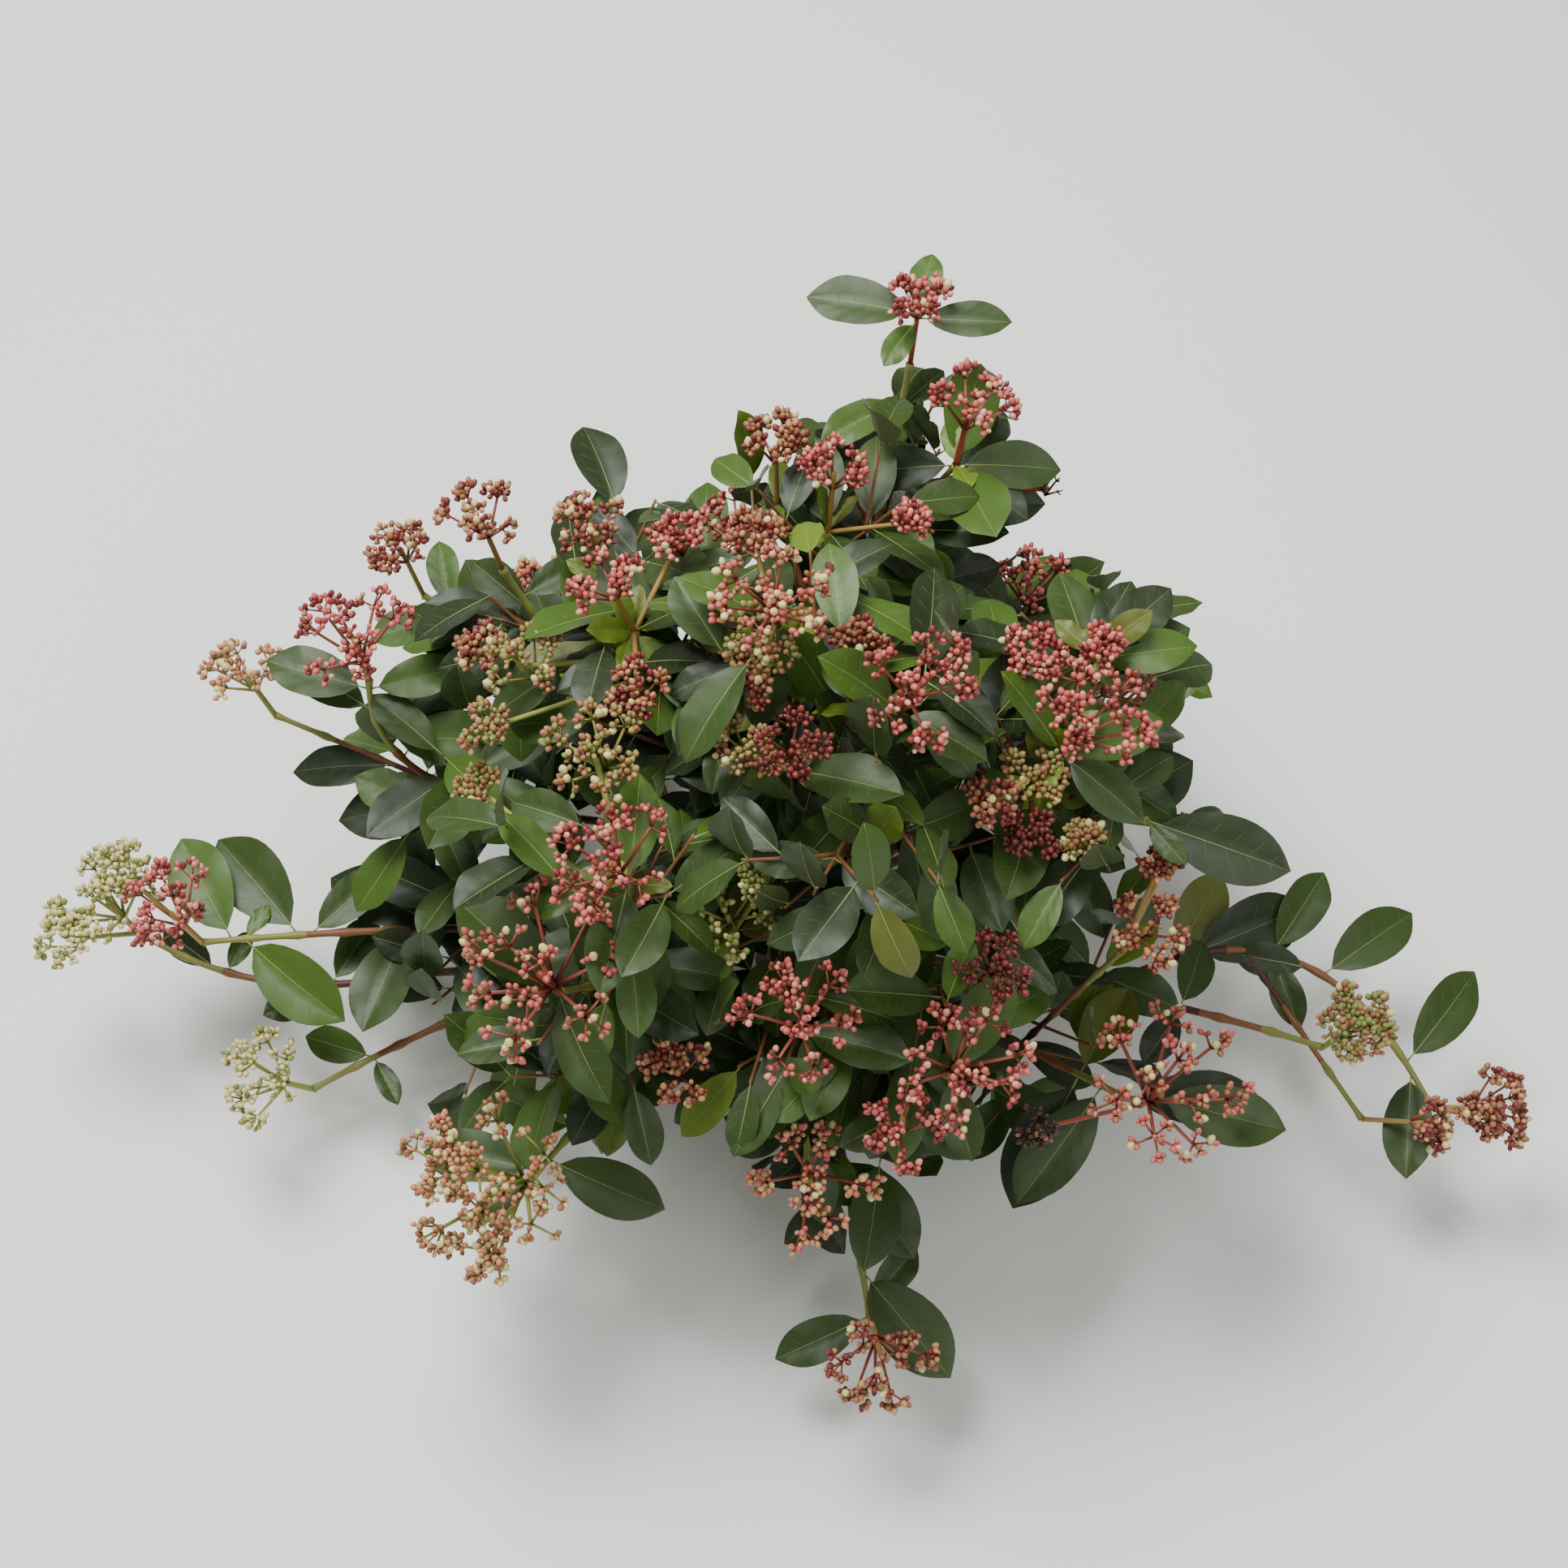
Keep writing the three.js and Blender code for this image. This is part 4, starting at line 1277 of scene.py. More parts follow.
def add_clump(made, fork, axis, spread, sizes, random):
    """Short rays at the end of a main ray, one straight on and the others around it, with their buds."""
    forks = round(random(*DOME.forks) * by_spread(sizes, spread, DOME.narrow_head_forks))
    radii = [ray_radius(sizes, spread) * share for share in DOME.fork_radii]
    for j in range(forks + 1):
        lean = random(*(DOME.middle_lean if j == forks else DOME.fork_lean))
        way = spread_out(axis, lean, math.tau * (j + random(*DOME.ray_sway)) / forks)
        knot = fork + way * (spread * random(*DOME.fork_reach) + DOME.fork_least)
        made.rays.append((fork, knot, *radii))
        buds = round(random(*DOME.bud_count))
        for k in range(buds + 1):
            tilt = 0 if k == buds else random(*DOME.bud_tilt)
            out = spread_out(way, tilt, math.tau * (k + random(*DOME.bud_sway)) / buds)
            place = knot + out * sizes.pedicel * random(*DOME.pedicel_scale)
            made.buds.append(SimpleNamespace(knot=knot, place=place))


def moved_apart(places, distance, rounds=16):
    """The places pushed away from each other until hardly any are closer than the distance."""
    for _ in range(rounds):
        offset = places[:, None] - places[None]
        apart = np.linalg.norm(offset, axis=2) + np.eye(len(places))
        push = np.clip(distance - apart, 0, None) / 2
        np.fill_diagonal(push, 0)
        places = places + (offset / apart[..., None] * push[..., None]).sum(1)
    return places


# What the heads look like: the colours of their buds, the first one for half of them and the second for most
# of the rest, the share of larger buds that are still cream-coloured, the colours of the rays and of the
# stalk, and the share of buds that haven't dropped


def look(buds, pale_share, rays, stalk, bud_share=1):
    return SimpleNamespace(buds=buds, pale_share=pale_share, rays=rays, stalk=stalk, bud_share=bud_share)


HUES = {
    "rose": look(("rose", "crimson", "blush"), 0.01, "red", "amber"),
    "ruby": look(("rose", "crimson", "blush"), 0.01, "red", "red"),
    # The maroon look is painted shade: dark buds for heads that stand in the shade of leaves
    "maroon": look(("maroon", "crimson", "maroon"), 0, "red", "red"),
    "salmon": look(("salmon", "rose", "blush"), 0.08, "red", "amber"),
    "brown": look(("brown", "crimson", "salmon"), 0.05, "red", "amber"),
    "mixed": look(("rose", "brown", "blush"), 0.13, "red", "red"),
    "olive": look(("salmon", "brown", "rose"), 0.16, "green", "green"),
    "bronze": look(("green", "brown", "salmon"), 0.06, "green", "green"),
    "khaki": look(("khaki", "brown", "green"), 0.05, "green", "green"),
    "withered": look(("withered", "withered", "brown"), 0, "dead", "red", 0.45),
    "dead": look(("withered", "withered", "withered"), 0, "dead", "red", 0),
    "cream": look(("cream", "green", "cream"), 0, "green", "green"),
    "green": look(("green", "green", "cream"), 0, "green", "green"),
}

# Tones of the leaves by where they stand on their twig. Each number is the share of the leaves that have that
# tone or one before it. The dark tone is painted shade, dealt only to leaves along the twigs and never to
# those at their tops and ends. The tone for leaves in full light is painted light, dealt more to the leaves
# at the tops and ends.

INSIDE_TONES = (("dark", 0.45), ("green", 0.85), ("fresh", 1))
LEAF_SHARES = {
    "leading": INSIDE_TONES,
    "side": INSIDE_TONES,
    "top": (("green", 0.6), ("fresh", 1)),
    "end": (("green", 0.6), ("fresh", 0.94), ("young", 0.97), ("olive", 1)),
    "young": (("young", 0.75), ("olive", 1)),
}

# Where the draws for the heads and for the leaves start
SEEDS = SimpleNamespace(heads=71, leaves=29)


def dealt(shares, draw):
    """The first tone whose share reaches past the draw."""
    return next(tone for tone, share in shares if draw < share)


@lru_cache
def all_bunches():
    sizes = bpy.context.scene.shrub_sizes
    random = seeded_random(SEEDS.heads)
    bunches = []
    for plant in foliage(sizes.leaf_length):
        for each in plant.heads:
            made = bunch(each, sizes, random)
            made.hue = HUES[each.hue]
            made.buds = [bud for bud in made.buds if random(0, 1) < made.hue.bud_share]
            tones = list(zip(made.hue.buds, (sizes.first_bud_share, sizes.second_bud_share, 1)))
            for bud in made.buds:
                draw = random(0, 1)
                bud.colour = dealt(tones, draw)
                if draw > 1 - made.hue.pale_share:
                    bud.colour = "cream"
                    bud.size *= DOME.pale_bud_scale
            bunches.append(made)
    return bunches


def bud_places(pattern, buds, sizes):
    """Each bud is an egg that stands on its point, narrower towards its tip."""
    x, y, z = pattern.points.T
    even, curved = BUD_TAPER
    wide = 1 - even * z - curved * z**2
    half_width = sizes.bud_width / 2
    local = np.stack([x * wide * half_width, y * wide * half_width, z * sizes.bud_length / 2], 1)
    frames = np.array([[*frame_of(bud.along), bud.along] for bud in buds])
    scale = np.array([bud.size for bud in buds])[:, None, None]
    centre = np.array([bud.place for bud in buds])[:, None]
    return centre + np.einsum("pk,nkc->npc", local, frames) * scale


# Finishes


def linear(code):
    """The linear colour of an sRGB hex value."""
    parts = [int(code[i:i + 2], 16) / 255 for i in (1, 3, 5)]
    return [p / 12.92 if p <= 0.04045 else ((p + 0.055) / 1.055) ** 2.4 for p in parts] + [1]


def add_node(tree, kind, inputs=None, **settings):
    node = tree.nodes.new(kind)
    for name, value in settings.items():
        setattr(node, name, value)
    for socket, value in (inputs or {}).items():
        if isinstance(value, bpy.types.NodeSocket):
            tree.links.new(value, node.inputs[socket])
        else:
            node.inputs[socket].default_value = value
    return node


def new_finish(name, inputs):
    """A material with one surface shader, which takes the plain values that are the same all over."""
    material = bpy.data.materials.new(name)
    material.use_nodes = True
    material.node_tree.nodes.clear()
    shader = add_node(material.node_tree, "ShaderNodeBsdfPrincipled", inputs)
    add_node(material.node_tree, "ShaderNodeOutputMaterial", {"Surface": shader.outputs[0]})
    return material


def waxy_leaf(name, code):
    """Leathery evergreen leaf with a wax layer, which gives a soft, broad shine over a dark green."""
    return new_finish(name, {
        "Base Color": linear(code), "Roughness": 0.5, "IOR": 1.42,
        "Coat Weight": 0.08, "Coat Roughness": 0.35,
    })


def leaf_underside(code):
    """Underside with fine pores and no wax, which looks pale and dull."""
    return new_finish("leaf_underside_dull", {"Base Color": linear(code), "Roughness": 0.7, "IOR": 1.4})


def dry_spot(code):
    """Dead, dried-up tissue of a leaf, brown and dull."""
    return new_finish("leaf_spot_dry", {"Base Color": linear(code), "Roughness": 0.8})


def smooth_rind(name, code):
    """Young green or red rind of stalks and twigs, smooth with a faint shine."""
    return new_finish(name, {"Base Color": linear(code), "Roughness": 0.48, "IOR": 1.42})


def closed_bud(name, code):
    """Tight petals of an unopened bud, smooth, with a thin skin that shines a little."""
    return new_finish(name, {
        "Base Color": linear(code), "Roughness": 0.42, "IOR": 1.42,
        "Coat Weight": 0.15, "Coat Roughness": 0.3,
    })


def ridged_bark(colours):
    """Thin woody bark: dull red-brown with grey ridges along the limb and pale pores."""
    material = bpy.data.materials.new("bark_ridged")
    material.use_nodes = True
    tree = material.node_tree
    tree.nodes.clear()
    place = add_node(tree, "ShaderNodeTexCoord").outputs["Object"]
    patches = add_node(tree, "ShaderNodeTexNoise", {
        "Vector": place, "Scale": 160, "Detail": 5, "Roughness": 0.6,
    })
    ramp = add_node(tree, "ShaderNodeValToRGB", {"Fac": patches.outputs["Fac"]})
    stops = ((0.35, colours.bark), (0.7, colours.bark_ridge))
    for element, (position, code) in zip(ramp.color_ramp.elements, stops):
        element.position = position
        element.color = linear(code)
    pores = add_node(tree, "ShaderNodeTexVoronoi", {"Vector": place, "Scale": 420})
    near_pore = add_node(tree, "ShaderNodeMapRange", {
        "Value": pores.outputs["Distance"], "From Min": 0.12, "From Max": 0.22, "To Min": 1, "To Max": 0,
    })
    colour = add_node(tree, "ShaderNodeMix", {
        "Factor": near_pore.outputs[0], "A": ramp.outputs["Color"], "B": linear(colours.bark_pore),
    }, data_type="RGBA")
    bump = add_node(tree, "ShaderNodeBump", {
        "Height": patches.outputs["Fac"], "Strength": 0.5, "Distance": 0.4 * MM,
    })
    shader = add_node(tree, "ShaderNodeBsdfPrincipled", {
        "Base Color": colour.outputs["Result"], "Roughness": 0.8, "Normal": bump.outputs["Normal"],
    })
    add_node(tree, "ShaderNodeOutputMaterial", {"Surface": shader.outputs[0]})
    return material


# Sizes and colours that a user would change


def metres(name, default, description):
    return FloatProperty(
        name=name, default=default, min=0, unit="LENGTH", precision=5, description=description
    )


def ratio(name, default, description):
    return FloatProperty(name=name, default=default, description=description)


def whole_number(name, default, least, description):
    return IntProperty(name=name, default=default, min=least, description=description)


def paint(name, default, description):
    return StringProperty(name=name, default=default, description=description)


class ShrubSizes(bpy.types.PropertyGroup):
    """Sizes of the shrub's leaves, buds and bark."""

    leaf_length: metres("Leaf length", 66 * MM, "Length of a leaf with its stalk")
    leaf_width: ratio("Leaf width", 0.47, "Width of a blade as a share of the leaf's length")
    leaf_thickness: metres("Leaf thickness", 0.5 * MM, "Thickness of a blade at its midrib")
    leaf_rows: whole_number("Leaf rows", 12, 4, "Rows of faces along a blade")
    leaf_columns: whole_number("Leaf columns", 6, 2, "Columns of faces across a blade")
    leaf_base: ratio("Leaf base", 0.74, "How round a blade is at its base, where a lower value is rounder")
    leaf_point: ratio("Leaf point", 1.1, "How drawn out a blade's tip is")
    petiole: ratio("Petiole", 0.09, "Length of the leaf's stalk as a share of the leaf")
    petiole_radius: metres("Petiole radius", 0.85 * MM, "Thickness of the leaf's stalk from its middle")
    rib_radius: metres("Rib radius", 0.42 * MM, "Thickness of the midrib from its middle")
    vein_radius: metres("Vein radius", 0.11 * MM, "Thickness of a side vein from its middle")
    vein_slant: ratio("Vein slant", 0.16, "How far the side veins run towards the tip")
    vein_relief: metres("Vein relief", 0.4 * MM, "Height of the blade between its side veins")
    margin_roll: metres("Margin roll", 0.7 * MM, "How far the margin rolls down")
    margin_wave: metres("Margin wave", 1 * MM, "Height of the waves along the margin")
    bud_length: metres("Bud length", 4.2 * MM, "Length of a bud")
    bud_width: metres("Bud width", 3.5 * MM, "Width of a bud")
    pedicel: metres("Pedicel", 2.4 * MM, "Length of a bud's own stalk")
    ray_radius: metres("Ray radius", 1.3 * MM, "Thickness of a head's main rays from their middle")
    head_spread: metres("Head spread", 34 * MM, "Reach of a usual head, with rays as thick as above")
    first_bud_share: ratio("First colour", 0.5, "Share of a head's buds in its first colour")
    second_bud_share: ratio("Second colour", 0.8, "Share of a head's buds in its first and second colours")
    node_swelling: metres("Node swelling", 0.8 * MM, "How far a twig swells where leaves stand on it")
    bark_relief: metres("Bark relief", 0.5 * MM, "Height of the bark's ridges on the stem")


class ShrubColours(bpy.types.PropertyGroup):
    """Colours of the shrub, as sRGB hex values."""

    bark: paint("Bark", "#4a2c22", "Bark between its ridges")
    bark_ridge: paint("Bark ridge", "#7b5c4a", "Weathered ridges of the bark")
    bark_pore: paint("Bark pore", "#a58467", "Pale pores of the bark")
    twig_maroon: paint("Maroon twig", "#4f2a20", "Leading twigs")
    twig_brown: paint("Brown twig", "#7a5030", "Young side twigs")
    twig_green: paint("Green twig", "#7c7f3c", "Twigs of the youngest growth")
    # Painted shade: a darker copy of the leaf green, for the leaves inside the shrub
    leaf_dark: paint("Dark leaf", "#212f11", "Old leaves inside the shrub")
    leaf_green: paint("Green leaf", "#304415", "Most of the leaves")
    # Painted light: a lighter copy of the leaf green, for leaves in full light
    leaf_fresh: paint("Fresh leaf", "#3e5a16", "Leaves in full light")
    leaf_olive: paint("Olive leaf", "#5a6120", "Leaves that turn olive")
    leaf_young: paint("Young leaf", "#62781f", "Young leaves at the tips")
    leaf_back: paint("Leaf underside", "#6d7f55", "Undersides of the leaves")
    leaf_rib: paint("Leaf rib", "#8f9f58", "Midribs and leaf stalks")
    leaf_vein: paint("Leaf vein", "#5a6d3a", "Side veins")
    leaf_spot: paint("Leaf spot", "#5c2c22", "Brown spot on one leaf")
    bud_rose: paint("Rose bud", "#bf5f57", "Rose-pink buds")
    bud_crimson: paint("Crimson bud", "#78312c", "Red buds")
    bud_blush: paint("Blush bud", "#d8927f", "Buds that open first, paler at their tips")
    bud_maroon: paint("Maroon bud", "#5e2b24", "Dark buds in the shade of leaves")
    bud_salmon: paint("Salmon bud", "#bf8760", "Salmon-pink buds")
    bud_brown: paint("Brown bud", "#966546", "Brown-pink buds")
    bud_khaki: paint("Khaki bud", "#9a8450", "Buds between green and brown")
    bud_withered: paint("Withered bud", "#3f2a1f", "Buds that have dried up")
    bud_cream: paint("Cream bud", "#d3c888", "Cream-coloured buds")
    bud_green: paint("Green bud", "#848c4a", "Green buds")
    ray_red: paint("Red ray", "#934d3a", "Rays of the pink and red heads")
    ray_green: paint("Green ray", "#949648", "Rays of the green and cream heads")
    ray_dead: paint("Dead ray", "#4a2c22", "Rays of the heads that have dried up")
    stalk_red: paint("Red stalk", "#8a3c2c", "Stalks of the dark heads")
    stalk_amber: paint("Amber stalk", "#a08044", "Stalks of the pink and brown heads")
    stalk_green: paint("Green stalk", "#8f9448", "Stalks of the green and cream heads")


TWIG_TONES = ("maroon", "brown", "green")
RAY_TONES = ("red", "green", "dead")
STALK_TONES = ("red", "amber", "green")
LEAF_TONES = ("dark", "green", "fresh", "olive", "young")
BUD_TONES = (
    "rose", "crimson", "maroon", "blush", "salmon", "brown", "khaki", "withered", "cream", "green",
)

# Sides and steps of each kind of tube, and segments and rings of a bud
FACES = SimpleNamespace(
    stem=(48, 60), bough=(14, 44), leading_twig=(10, 42), side_twig=(6, 8), stalk=(8, 8), ray=(3, 1),
    rib_steps=8, line_sides=3, bud=(6, 5),
)

# The bark's relief: how many ridges, grains and swellings there are on a metre around the limb and along it,
# how high the last two are against the ridges, and how high all of it is on a bough against the stem. The
# stem's rings are closer at its foot by the power. A tangent is taken over twice the slope's reach, as a
# share of the limb.
BARK = SimpleNamespace(
    ridges_around=420, ridges_along=45, finer_grain=2.5, grain_along=160, grain_height=0.5,
    swellings_along=38, swelling_height=0.8, swelling_row=7, bough_relief=0.45, foot_power=1.3,
    slope_reach=0.01, chords=20,
)

STUDIO = SimpleNamespace(
    floor_size=12, floor="#f4f4f2", sky="#f4f4f0", sky_strength=0.36, aim=Vector((0, 0, 0.2))
)


def rind_of(colours, part, tone):
    return smooth_rind(f"{part}_rind_{tone}", getattr(colours, f"{part}_{tone}"))


# Operators


class SHRUB_OT_bark(bpy.types.Operator):
    """Makes the stem and the boughs with the relief of their bark"""

    bl_idname = "shrub.bark"
    bl_label = "Make stem and boughs"

    def execute(self, context):
        sizes, finish = context.scene.shrub_sizes, ridged_bark(context.scene.shrub_colours)
        relief = sizes.bark_relief
        self.limb("stem_bark", "stem", finish, stem_axis_share, stem_radius_share, relief, FACES.stem)
        for each in shoots():
            def centre(share, way=each.way):
                return way.point(share * BOUGH.share)

            def radius(share, base=each.base_radius):
                return base + (BOUGH.tip_radius - base) * share

            name = f"bough_{each.name}"
            self.limb(f"{name}_bark", name, finish, centre, radius, relief * BARK.bough_relief, FACES.bough)
        return {"FINISHED"}

    def limb(self, name, node, finish, centre_at, radius_at, relief, faces):
        sides, steps = faces
        bpy.ops.mesh.primitive_cylinder_add(vertices=sides, radius=1, depth=1, end_fill_type="TRIFAN")
        limb = bpy.context.object
        limb.name = limb.data.name = name
        cut_across(limb, steps)
        points = [centre_at(i / BARK.chords) for i in range(BARK.chords + 1)]
        length = sum((b - a).length for a, b in zip(points, points[1:]))
        aside = (centre_at(1) - centre_at(0)).orthogonal().normalized()
        for vertex in limb.data.vertices:
            x, y, share = vertex.co.x, vertex.co.y, vertex.co.z + 0.5
            low, high = max(0, share - BARK.slope_reach), min(1, share + BARK.slope_reach)
            tangent = (centre_at(high) - centre_at(low)).normalized()
            out = tangent.cross(aside).normalized()
            side = tangent.cross(out)
            radius = radius_at(share)
            rough = relief * bark_height(Vector((x, y, share * length)), radius, node)
            vertex.co = centre_at(share) + (out * x + side * y) * (radius + rough)
            vertex.co.z = max(vertex.co.z, 0)
        limb.data.materials.append(finish)
        limb.data.shade_smooth()
        settle(limb, [node])


def stem_axis_share(share):
    return stem_axis(share**BARK.foot_power * STEM.height)


def stem_radius_share(share):
    return stem_radius(share**BARK.foot_power * STEM.height)


def bark_height(place, radius, node):
    """Ridges that run along the limb, with a finer grain and a swelling here and there."""
    seed = len(node)
    around = Vector((place.x * radius, place.y * radius, 0)) * BARK.ridges_around
    ridges = noise.noise(around + Vector((seed, 0, place.z * BARK.ridges_along)))
    grain = noise.noise(around * BARK.finer_grain + Vector((0, seed, place.z * BARK.grain_along)))
    swelling = noise.noise(Vector((seed, BARK.swelling_row, place.z * BARK.swellings_along)))
    return ridges + BARK.grain_height * grain + BARK.swelling_height * swelling


class SHRUB_OT_twigs(bpy.types.Operator):
    """Makes the leading twigs, the side twigs and the stalks of the heads"""

    bl_idname = "shrub.twigs"
    bl_label = "Make twigs"

    def execute(self, context):
        sizes, colours = context.scene.shrub_sizes, context.scene.shrub_colours
        leading, side, stalks = [], [], {tone: [] for tone in STALK_TONES}
        for plant in foliage(sizes.leaf_length):
            leading.append((plant.shoot.way, plant.start, TWIG.base_radius, TWIG.tip_radius))
            for way in plant.shoot.side_ways:
                leading.append((way, 0, TWIG.tip_radius, TWIG.tip_radius * TWIG.limb_taper))
            for each in plant.side_twigs:
                middle = (each.start + each.end) / 2 - UP * TWIG.sag
                way = Way(each.start, middle, each.end)
                side.append((way, 0, TWIG.side_radius, TWIG.side_radius * TWIG.side_taper))
            for stalk, each in zip(plant.stalks, plant.heads):
                radius = ray_radius(sizes, each.spread) * UMBEL.stalk_width
                way = straight_way(*stalk)
                stalks[HUES[each.hue].stalk].append((way, 0, radius, radius * UMBEL.stalk_taper))
        rinds = [rind_of(colours, "twig", tone) for tone in TWIG_TONES]
        self.make("twigs_leading", leading, FACES.leading_twig, rinds, sizes.node_swelling)
        self.make("twigs_side", side, FACES.side_twig, rinds[1:2])
        for tone, ways in stalks.items():
            self.make(f"stalks_{tone}", ways, FACES.stalk, [rind_of(colours, "stalk", tone)])
        return {"FINISHED"}

    def make(self, name, ways, faces, rinds, swelling=0):
        sides, steps = faces
        centres, radii = [], []
        shares = np.linspace(0, 1, steps + 1)
        for way, start, base, tip in ways:
            centres.append([way.point(start + (1 - start) * share) for share in shares])
            radius = base + (tip - base) * shares
            length = way.length() * (1 - start)
            for node in node_shares(way, start) if swelling else ():
                apart = np.abs(shares - (node - start) / (1 - start)) * length
                radius = radius + swelling * np.exp(-(apart / TWIG.node_reach) ** 2)
            radii.append(radius)
        pattern = tube_pattern(sides, steps)
        places = tube_places(pattern, np.array(centres), np.array(radii))
        joined_piece(name, places, pattern, rinds, self.tones_along(pattern, len(rinds)))

    def tones_along(self, pattern, count):
        """The tone of each face of a twig: the first one at its foot and the last one at its tip."""
        heights = pattern.points[pattern.corners, 2] + 0.5
        middles = np.add.reduceat(heights, np.cumsum(pattern.sizes) - pattern.sizes) / pattern.sizes
        return np.minimum((middles * count).astype(int), count - 1)


class SHRUB_OT_leaves(bpy.types.Operator):
    """Makes the leaves, joined by colour, with their midribs and stalks"""

    bl_idname = "shrub.leaves"
    bl_label = "Make leaves"

    def execute(self, context):
        sizes, colours = context.scene.shrub_sizes, context.scene.shrub_colours
        blades = [blade for plant in foliage(sizes.leaf_length) for blade in plant.leaves]
        random = seeded_random(SEEDS.leaves)
        for blade in blades:
            if blade.kind != "outer":
                blade.tone = dealt(LEAF_SHARES[blade.kind], random(0, 1))
        arrays = leaf_arrays(blades, sizes, random)
        pattern = leaf_pattern(sizes.leaf_rows, sizes.leaf_columns)
        places = blade_places(arrays, sizes, pattern)
        back = leaf_underside(colours.leaf_back)
        for tone in LEAF_TONES:
            mine = np.array([blade.tone == tone for blade in blades])
            finishes = [waxy_leaf(f"leaf_wax_{tone}", getattr(colours, f"leaf_{tone}")), back]
            name = f"leaves_{tone}"
            joined_piece(name, places[mine], pattern, finishes, pattern.slots, pattern.margin)
        one = blemished(blades)
        spotted = SimpleNamespace(**{name: values[[one]] for name, values in vars(arrays).items()})
        spot = spot_pattern(random)
        finish = dry_spot(colours.leaf_spot)
        joined_piece("leaf_spot", blade_places(spotted, sizes, spot), spot, [finish])
        centres = rib_centres(arrays, sizes, FACES.rib_steps)
        self.lines("rib", centres, rib_radii(arrays, sizes, FACES.rib_steps), colours.leaf_rib)
        centres = vein_centres(places, pattern, sizes.leaf_rows, sizes.leaf_columns)
        self.lines("vein", centres, np.full(centres.shape[:2], sizes.vein_radius), colours.leaf_vein)
        return {"FINISHED"}

    def lines(self, kind, centres, radii, code):
        """The midribs or the side veins, as thin tubes."""
        pattern = tube_pattern(FACES.line_sides, centres.shape[1] - 1)
        finish = smooth_rind(f"leaf_{kind}_rind", code)
        joined_piece(f"leaf_{kind}s", tube_places(pattern, centres, radii), pattern, [finish])


class SHRUB_OT_heads(bpy.types.Operator):
    """Makes the heads of buds: their rays and the buds, joined by colour"""

    bl_idname = "shrub.heads"
    bl_label = "Make heads of buds"

    def execute(self, context):
        sizes, colours = context.scene.shrub_sizes, context.scene.shrub_colours
        low, high = (sizes.ray_radius * share for share in DOME.pedicel_radii)
        pattern = tube_pattern(*FACES.ray)
        for tone in RAY_TONES:
            rays = []
            for each in all_bunches():
                if each.hue.rays == tone:
                    rays += each.rays
                    rays += [(bud.knot, bud.place, low, high) for bud in each.buds]
            centres = np.array([[start, end] for start, end, _, _ in rays])
            radii = np.array([[foot, top] for _, _, foot, top in rays])
            places = tube_places(pattern, centres, radii)
            joined_piece(f"rays_{tone}", places, pattern, [rind_of(colours, "ray", tone)])
        segments, rings = FACES.bud
        bpy.ops.mesh.primitive_uv_sphere_add(segments=segments, ring_count=rings, radius=1)
        pattern = in_fixed_order(take_pattern(bpy.context.object))
        for tone in BUD_TONES:
            buds = [bud for each in all_bunches() for bud in each.buds if bud.colour == tone]
            finish = closed_bud(f"bud_petals_{tone}", getattr(colours, f"bud_{tone}"))
            joined_piece(f"buds_{tone}", bud_places(pattern, buds, sizes), pattern, [finish])
        return {"FINISHED"}


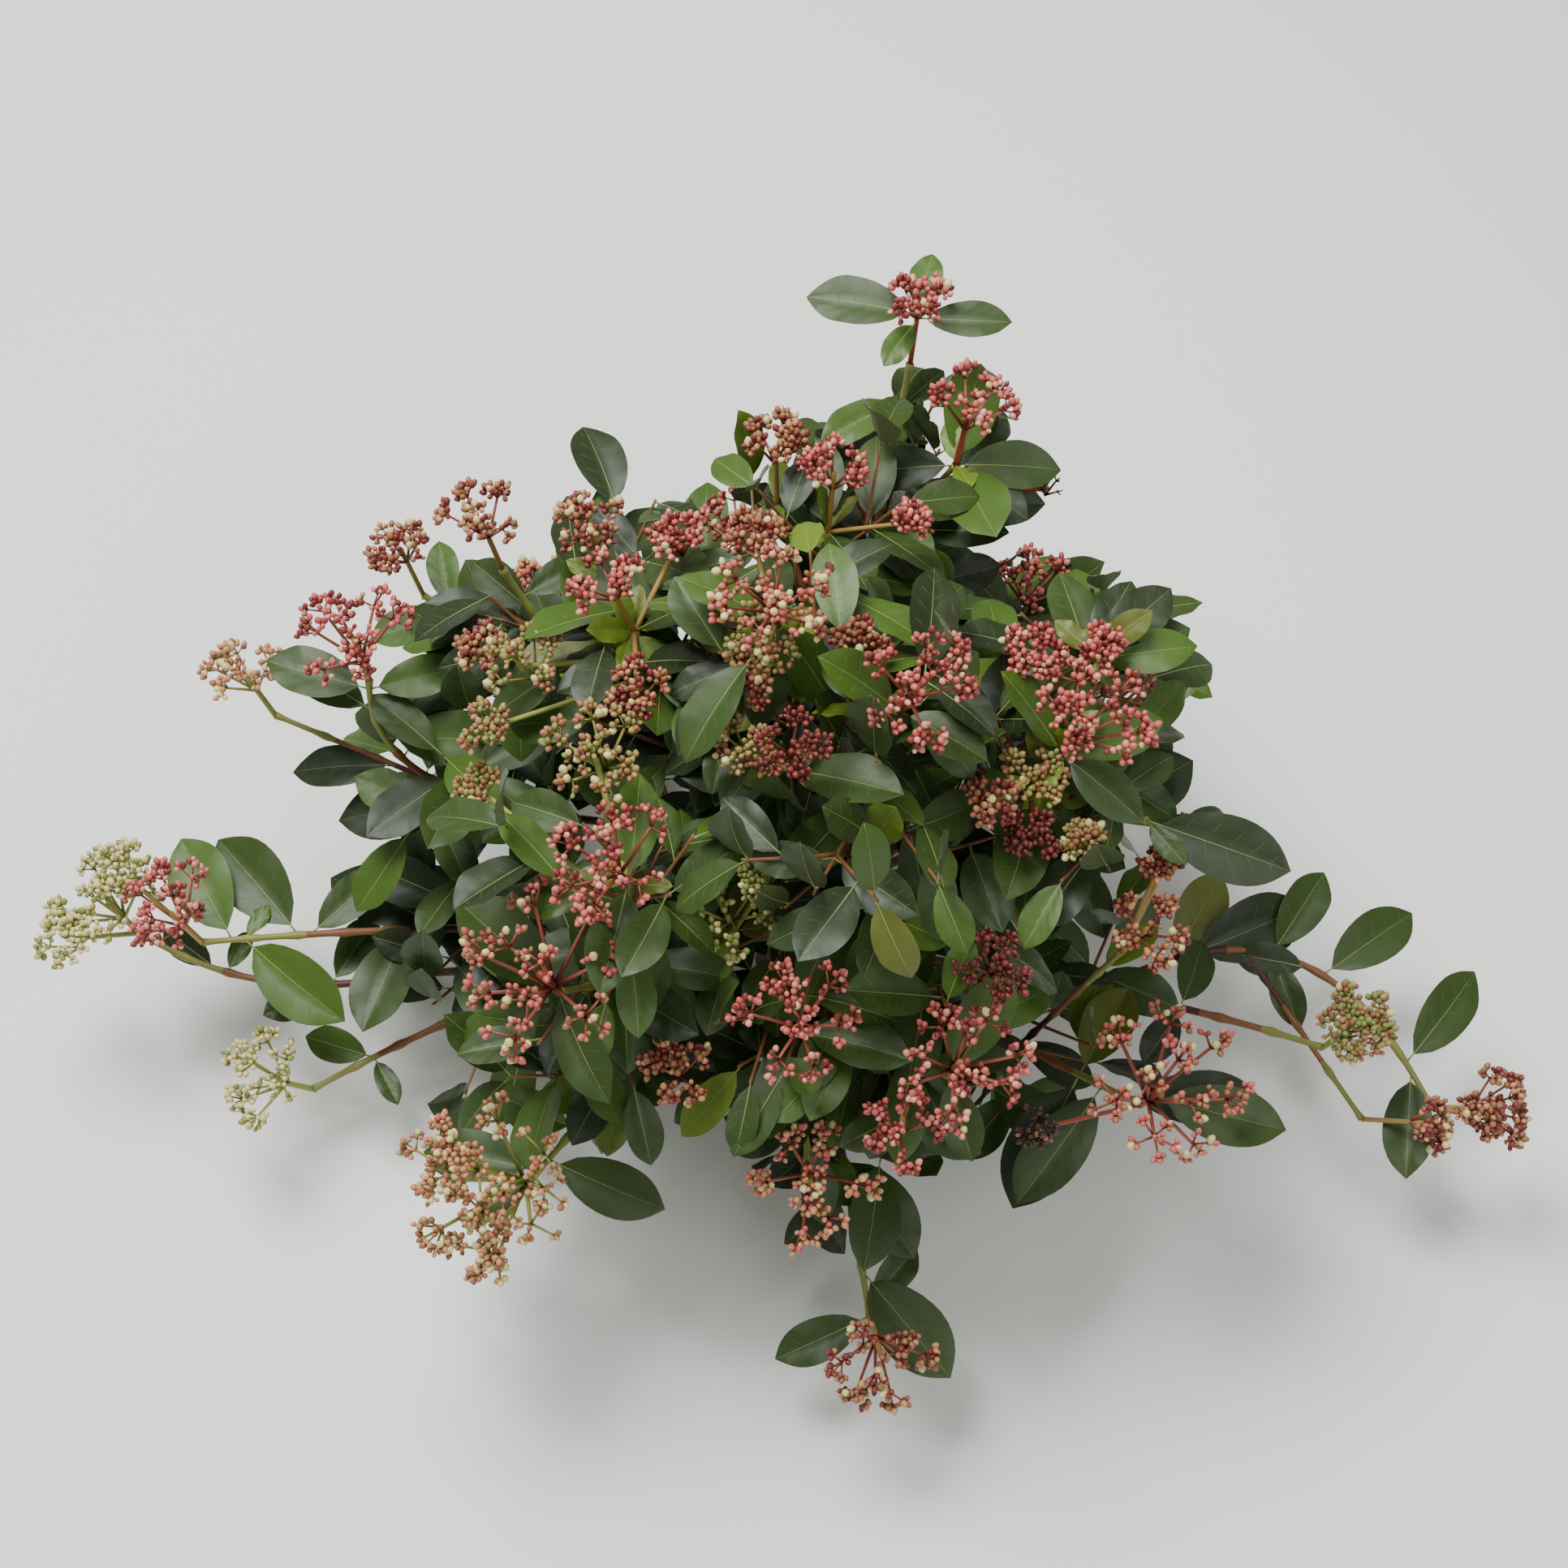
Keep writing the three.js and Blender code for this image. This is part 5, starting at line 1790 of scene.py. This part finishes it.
class SHRUB_OT_stage(bpy.types.Operator):
    """Makes the floor, the studio light and the camera"""

    bl_idname = "shrub.stage"
    bl_label = "Set the stage"

    def execute(self, context):
        bpy.ops.mesh.primitive_plane_add(size=STUDIO.floor_size)
        floor = bpy.context.object
        floor.name = "floor"
        finish = new_finish("floor_pale", {"Base Color": linear(STUDIO.floor), "Roughness": 0.9})
        floor.data.materials.append(finish)
        self.soft_light("key", place=(-0.5, 0.4, 2.1), size=1, power=68)
        self.soft_light("fill", place=(0.9, -1.2, 1.8), size=1.2, power=16)
        world = bpy.data.worlds.new("studio")
        world.use_nodes = True
        background = world.node_tree.nodes["Background"]
        background.inputs["Color"].default_value = linear(STUDIO.sky)
        background.inputs["Strength"].default_value = STUDIO.sky_strength
        context.scene.world = world
        self.camera(context)
        return {"FINISHED"}

    def soft_light(self, name, place, size, power):
        turn = (STUDIO.aim - Vector(place)).to_track_quat("-Z", "Y").to_euler()
        bpy.ops.object.light_add(type="AREA", radius=size, location=place, rotation=turn)
        light = bpy.context.object
        light.name = name
        light.data.energy = power

    def camera(self, context):
        away = Vector((0, -math.cos(VIEW.elevation), math.sin(VIEW.elevation)))
        turn = (-away).to_track_quat("-Z", "Y").to_euler()
        bpy.ops.object.camera_add(location=VIEW.target + away * VIEW.distance, rotation=turn)
        camera = bpy.context.object
        camera.data.sensor_width = VIEW.sensor_width
        camera.data.lens = VIEW.lens
        context.scene.camera = camera


class SHRUB_PT_panel(bpy.types.Panel):
    """Lists the steps that make the shrub"""

    bl_idname = "SHRUB_PT_panel"
    bl_label = "Laurustinus shrub"
    bl_space_type = "VIEW_3D"
    bl_region_type = "UI"
    bl_category = "Shrub"

    def draw(self, context):
        for group in (context.scene.shrub_sizes, context.scene.shrub_colours):
            for name in group.bl_rna.properties.keys():
                if name not in ("rna_type", "name"):
                    self.layout.prop(group, name)
        for operator in OPERATORS:
            self.layout.operator(operator.bl_idname)


OPERATORS = (SHRUB_OT_stage, SHRUB_OT_bark, SHRUB_OT_twigs, SHRUB_OT_leaves, SHRUB_OT_heads)
GROUPS = (ShrubSizes, ShrubColours)


def register():
    for each in (*GROUPS, *OPERATORS, SHRUB_PT_panel):
        bpy.utils.register_class(each)
    bpy.types.Scene.shrub_sizes = PointerProperty(type=ShrubSizes)
    bpy.types.Scene.shrub_colours = PointerProperty(type=ShrubColours)


def unregister():
    del bpy.types.Scene.shrub_sizes
    del bpy.types.Scene.shrub_colours
    for each in reversed((*GROUPS, *OPERATORS, SHRUB_PT_panel)):
        bpy.utils.unregister_class(each)


def main():
    register()
    bpy.ops.shrub.stage()
    bpy.ops.shrub.bark()
    bpy.ops.shrub.twigs()
    bpy.ops.shrub.leaves()
    bpy.ops.shrub.heads()


if __name__ == "__main__":
    main()
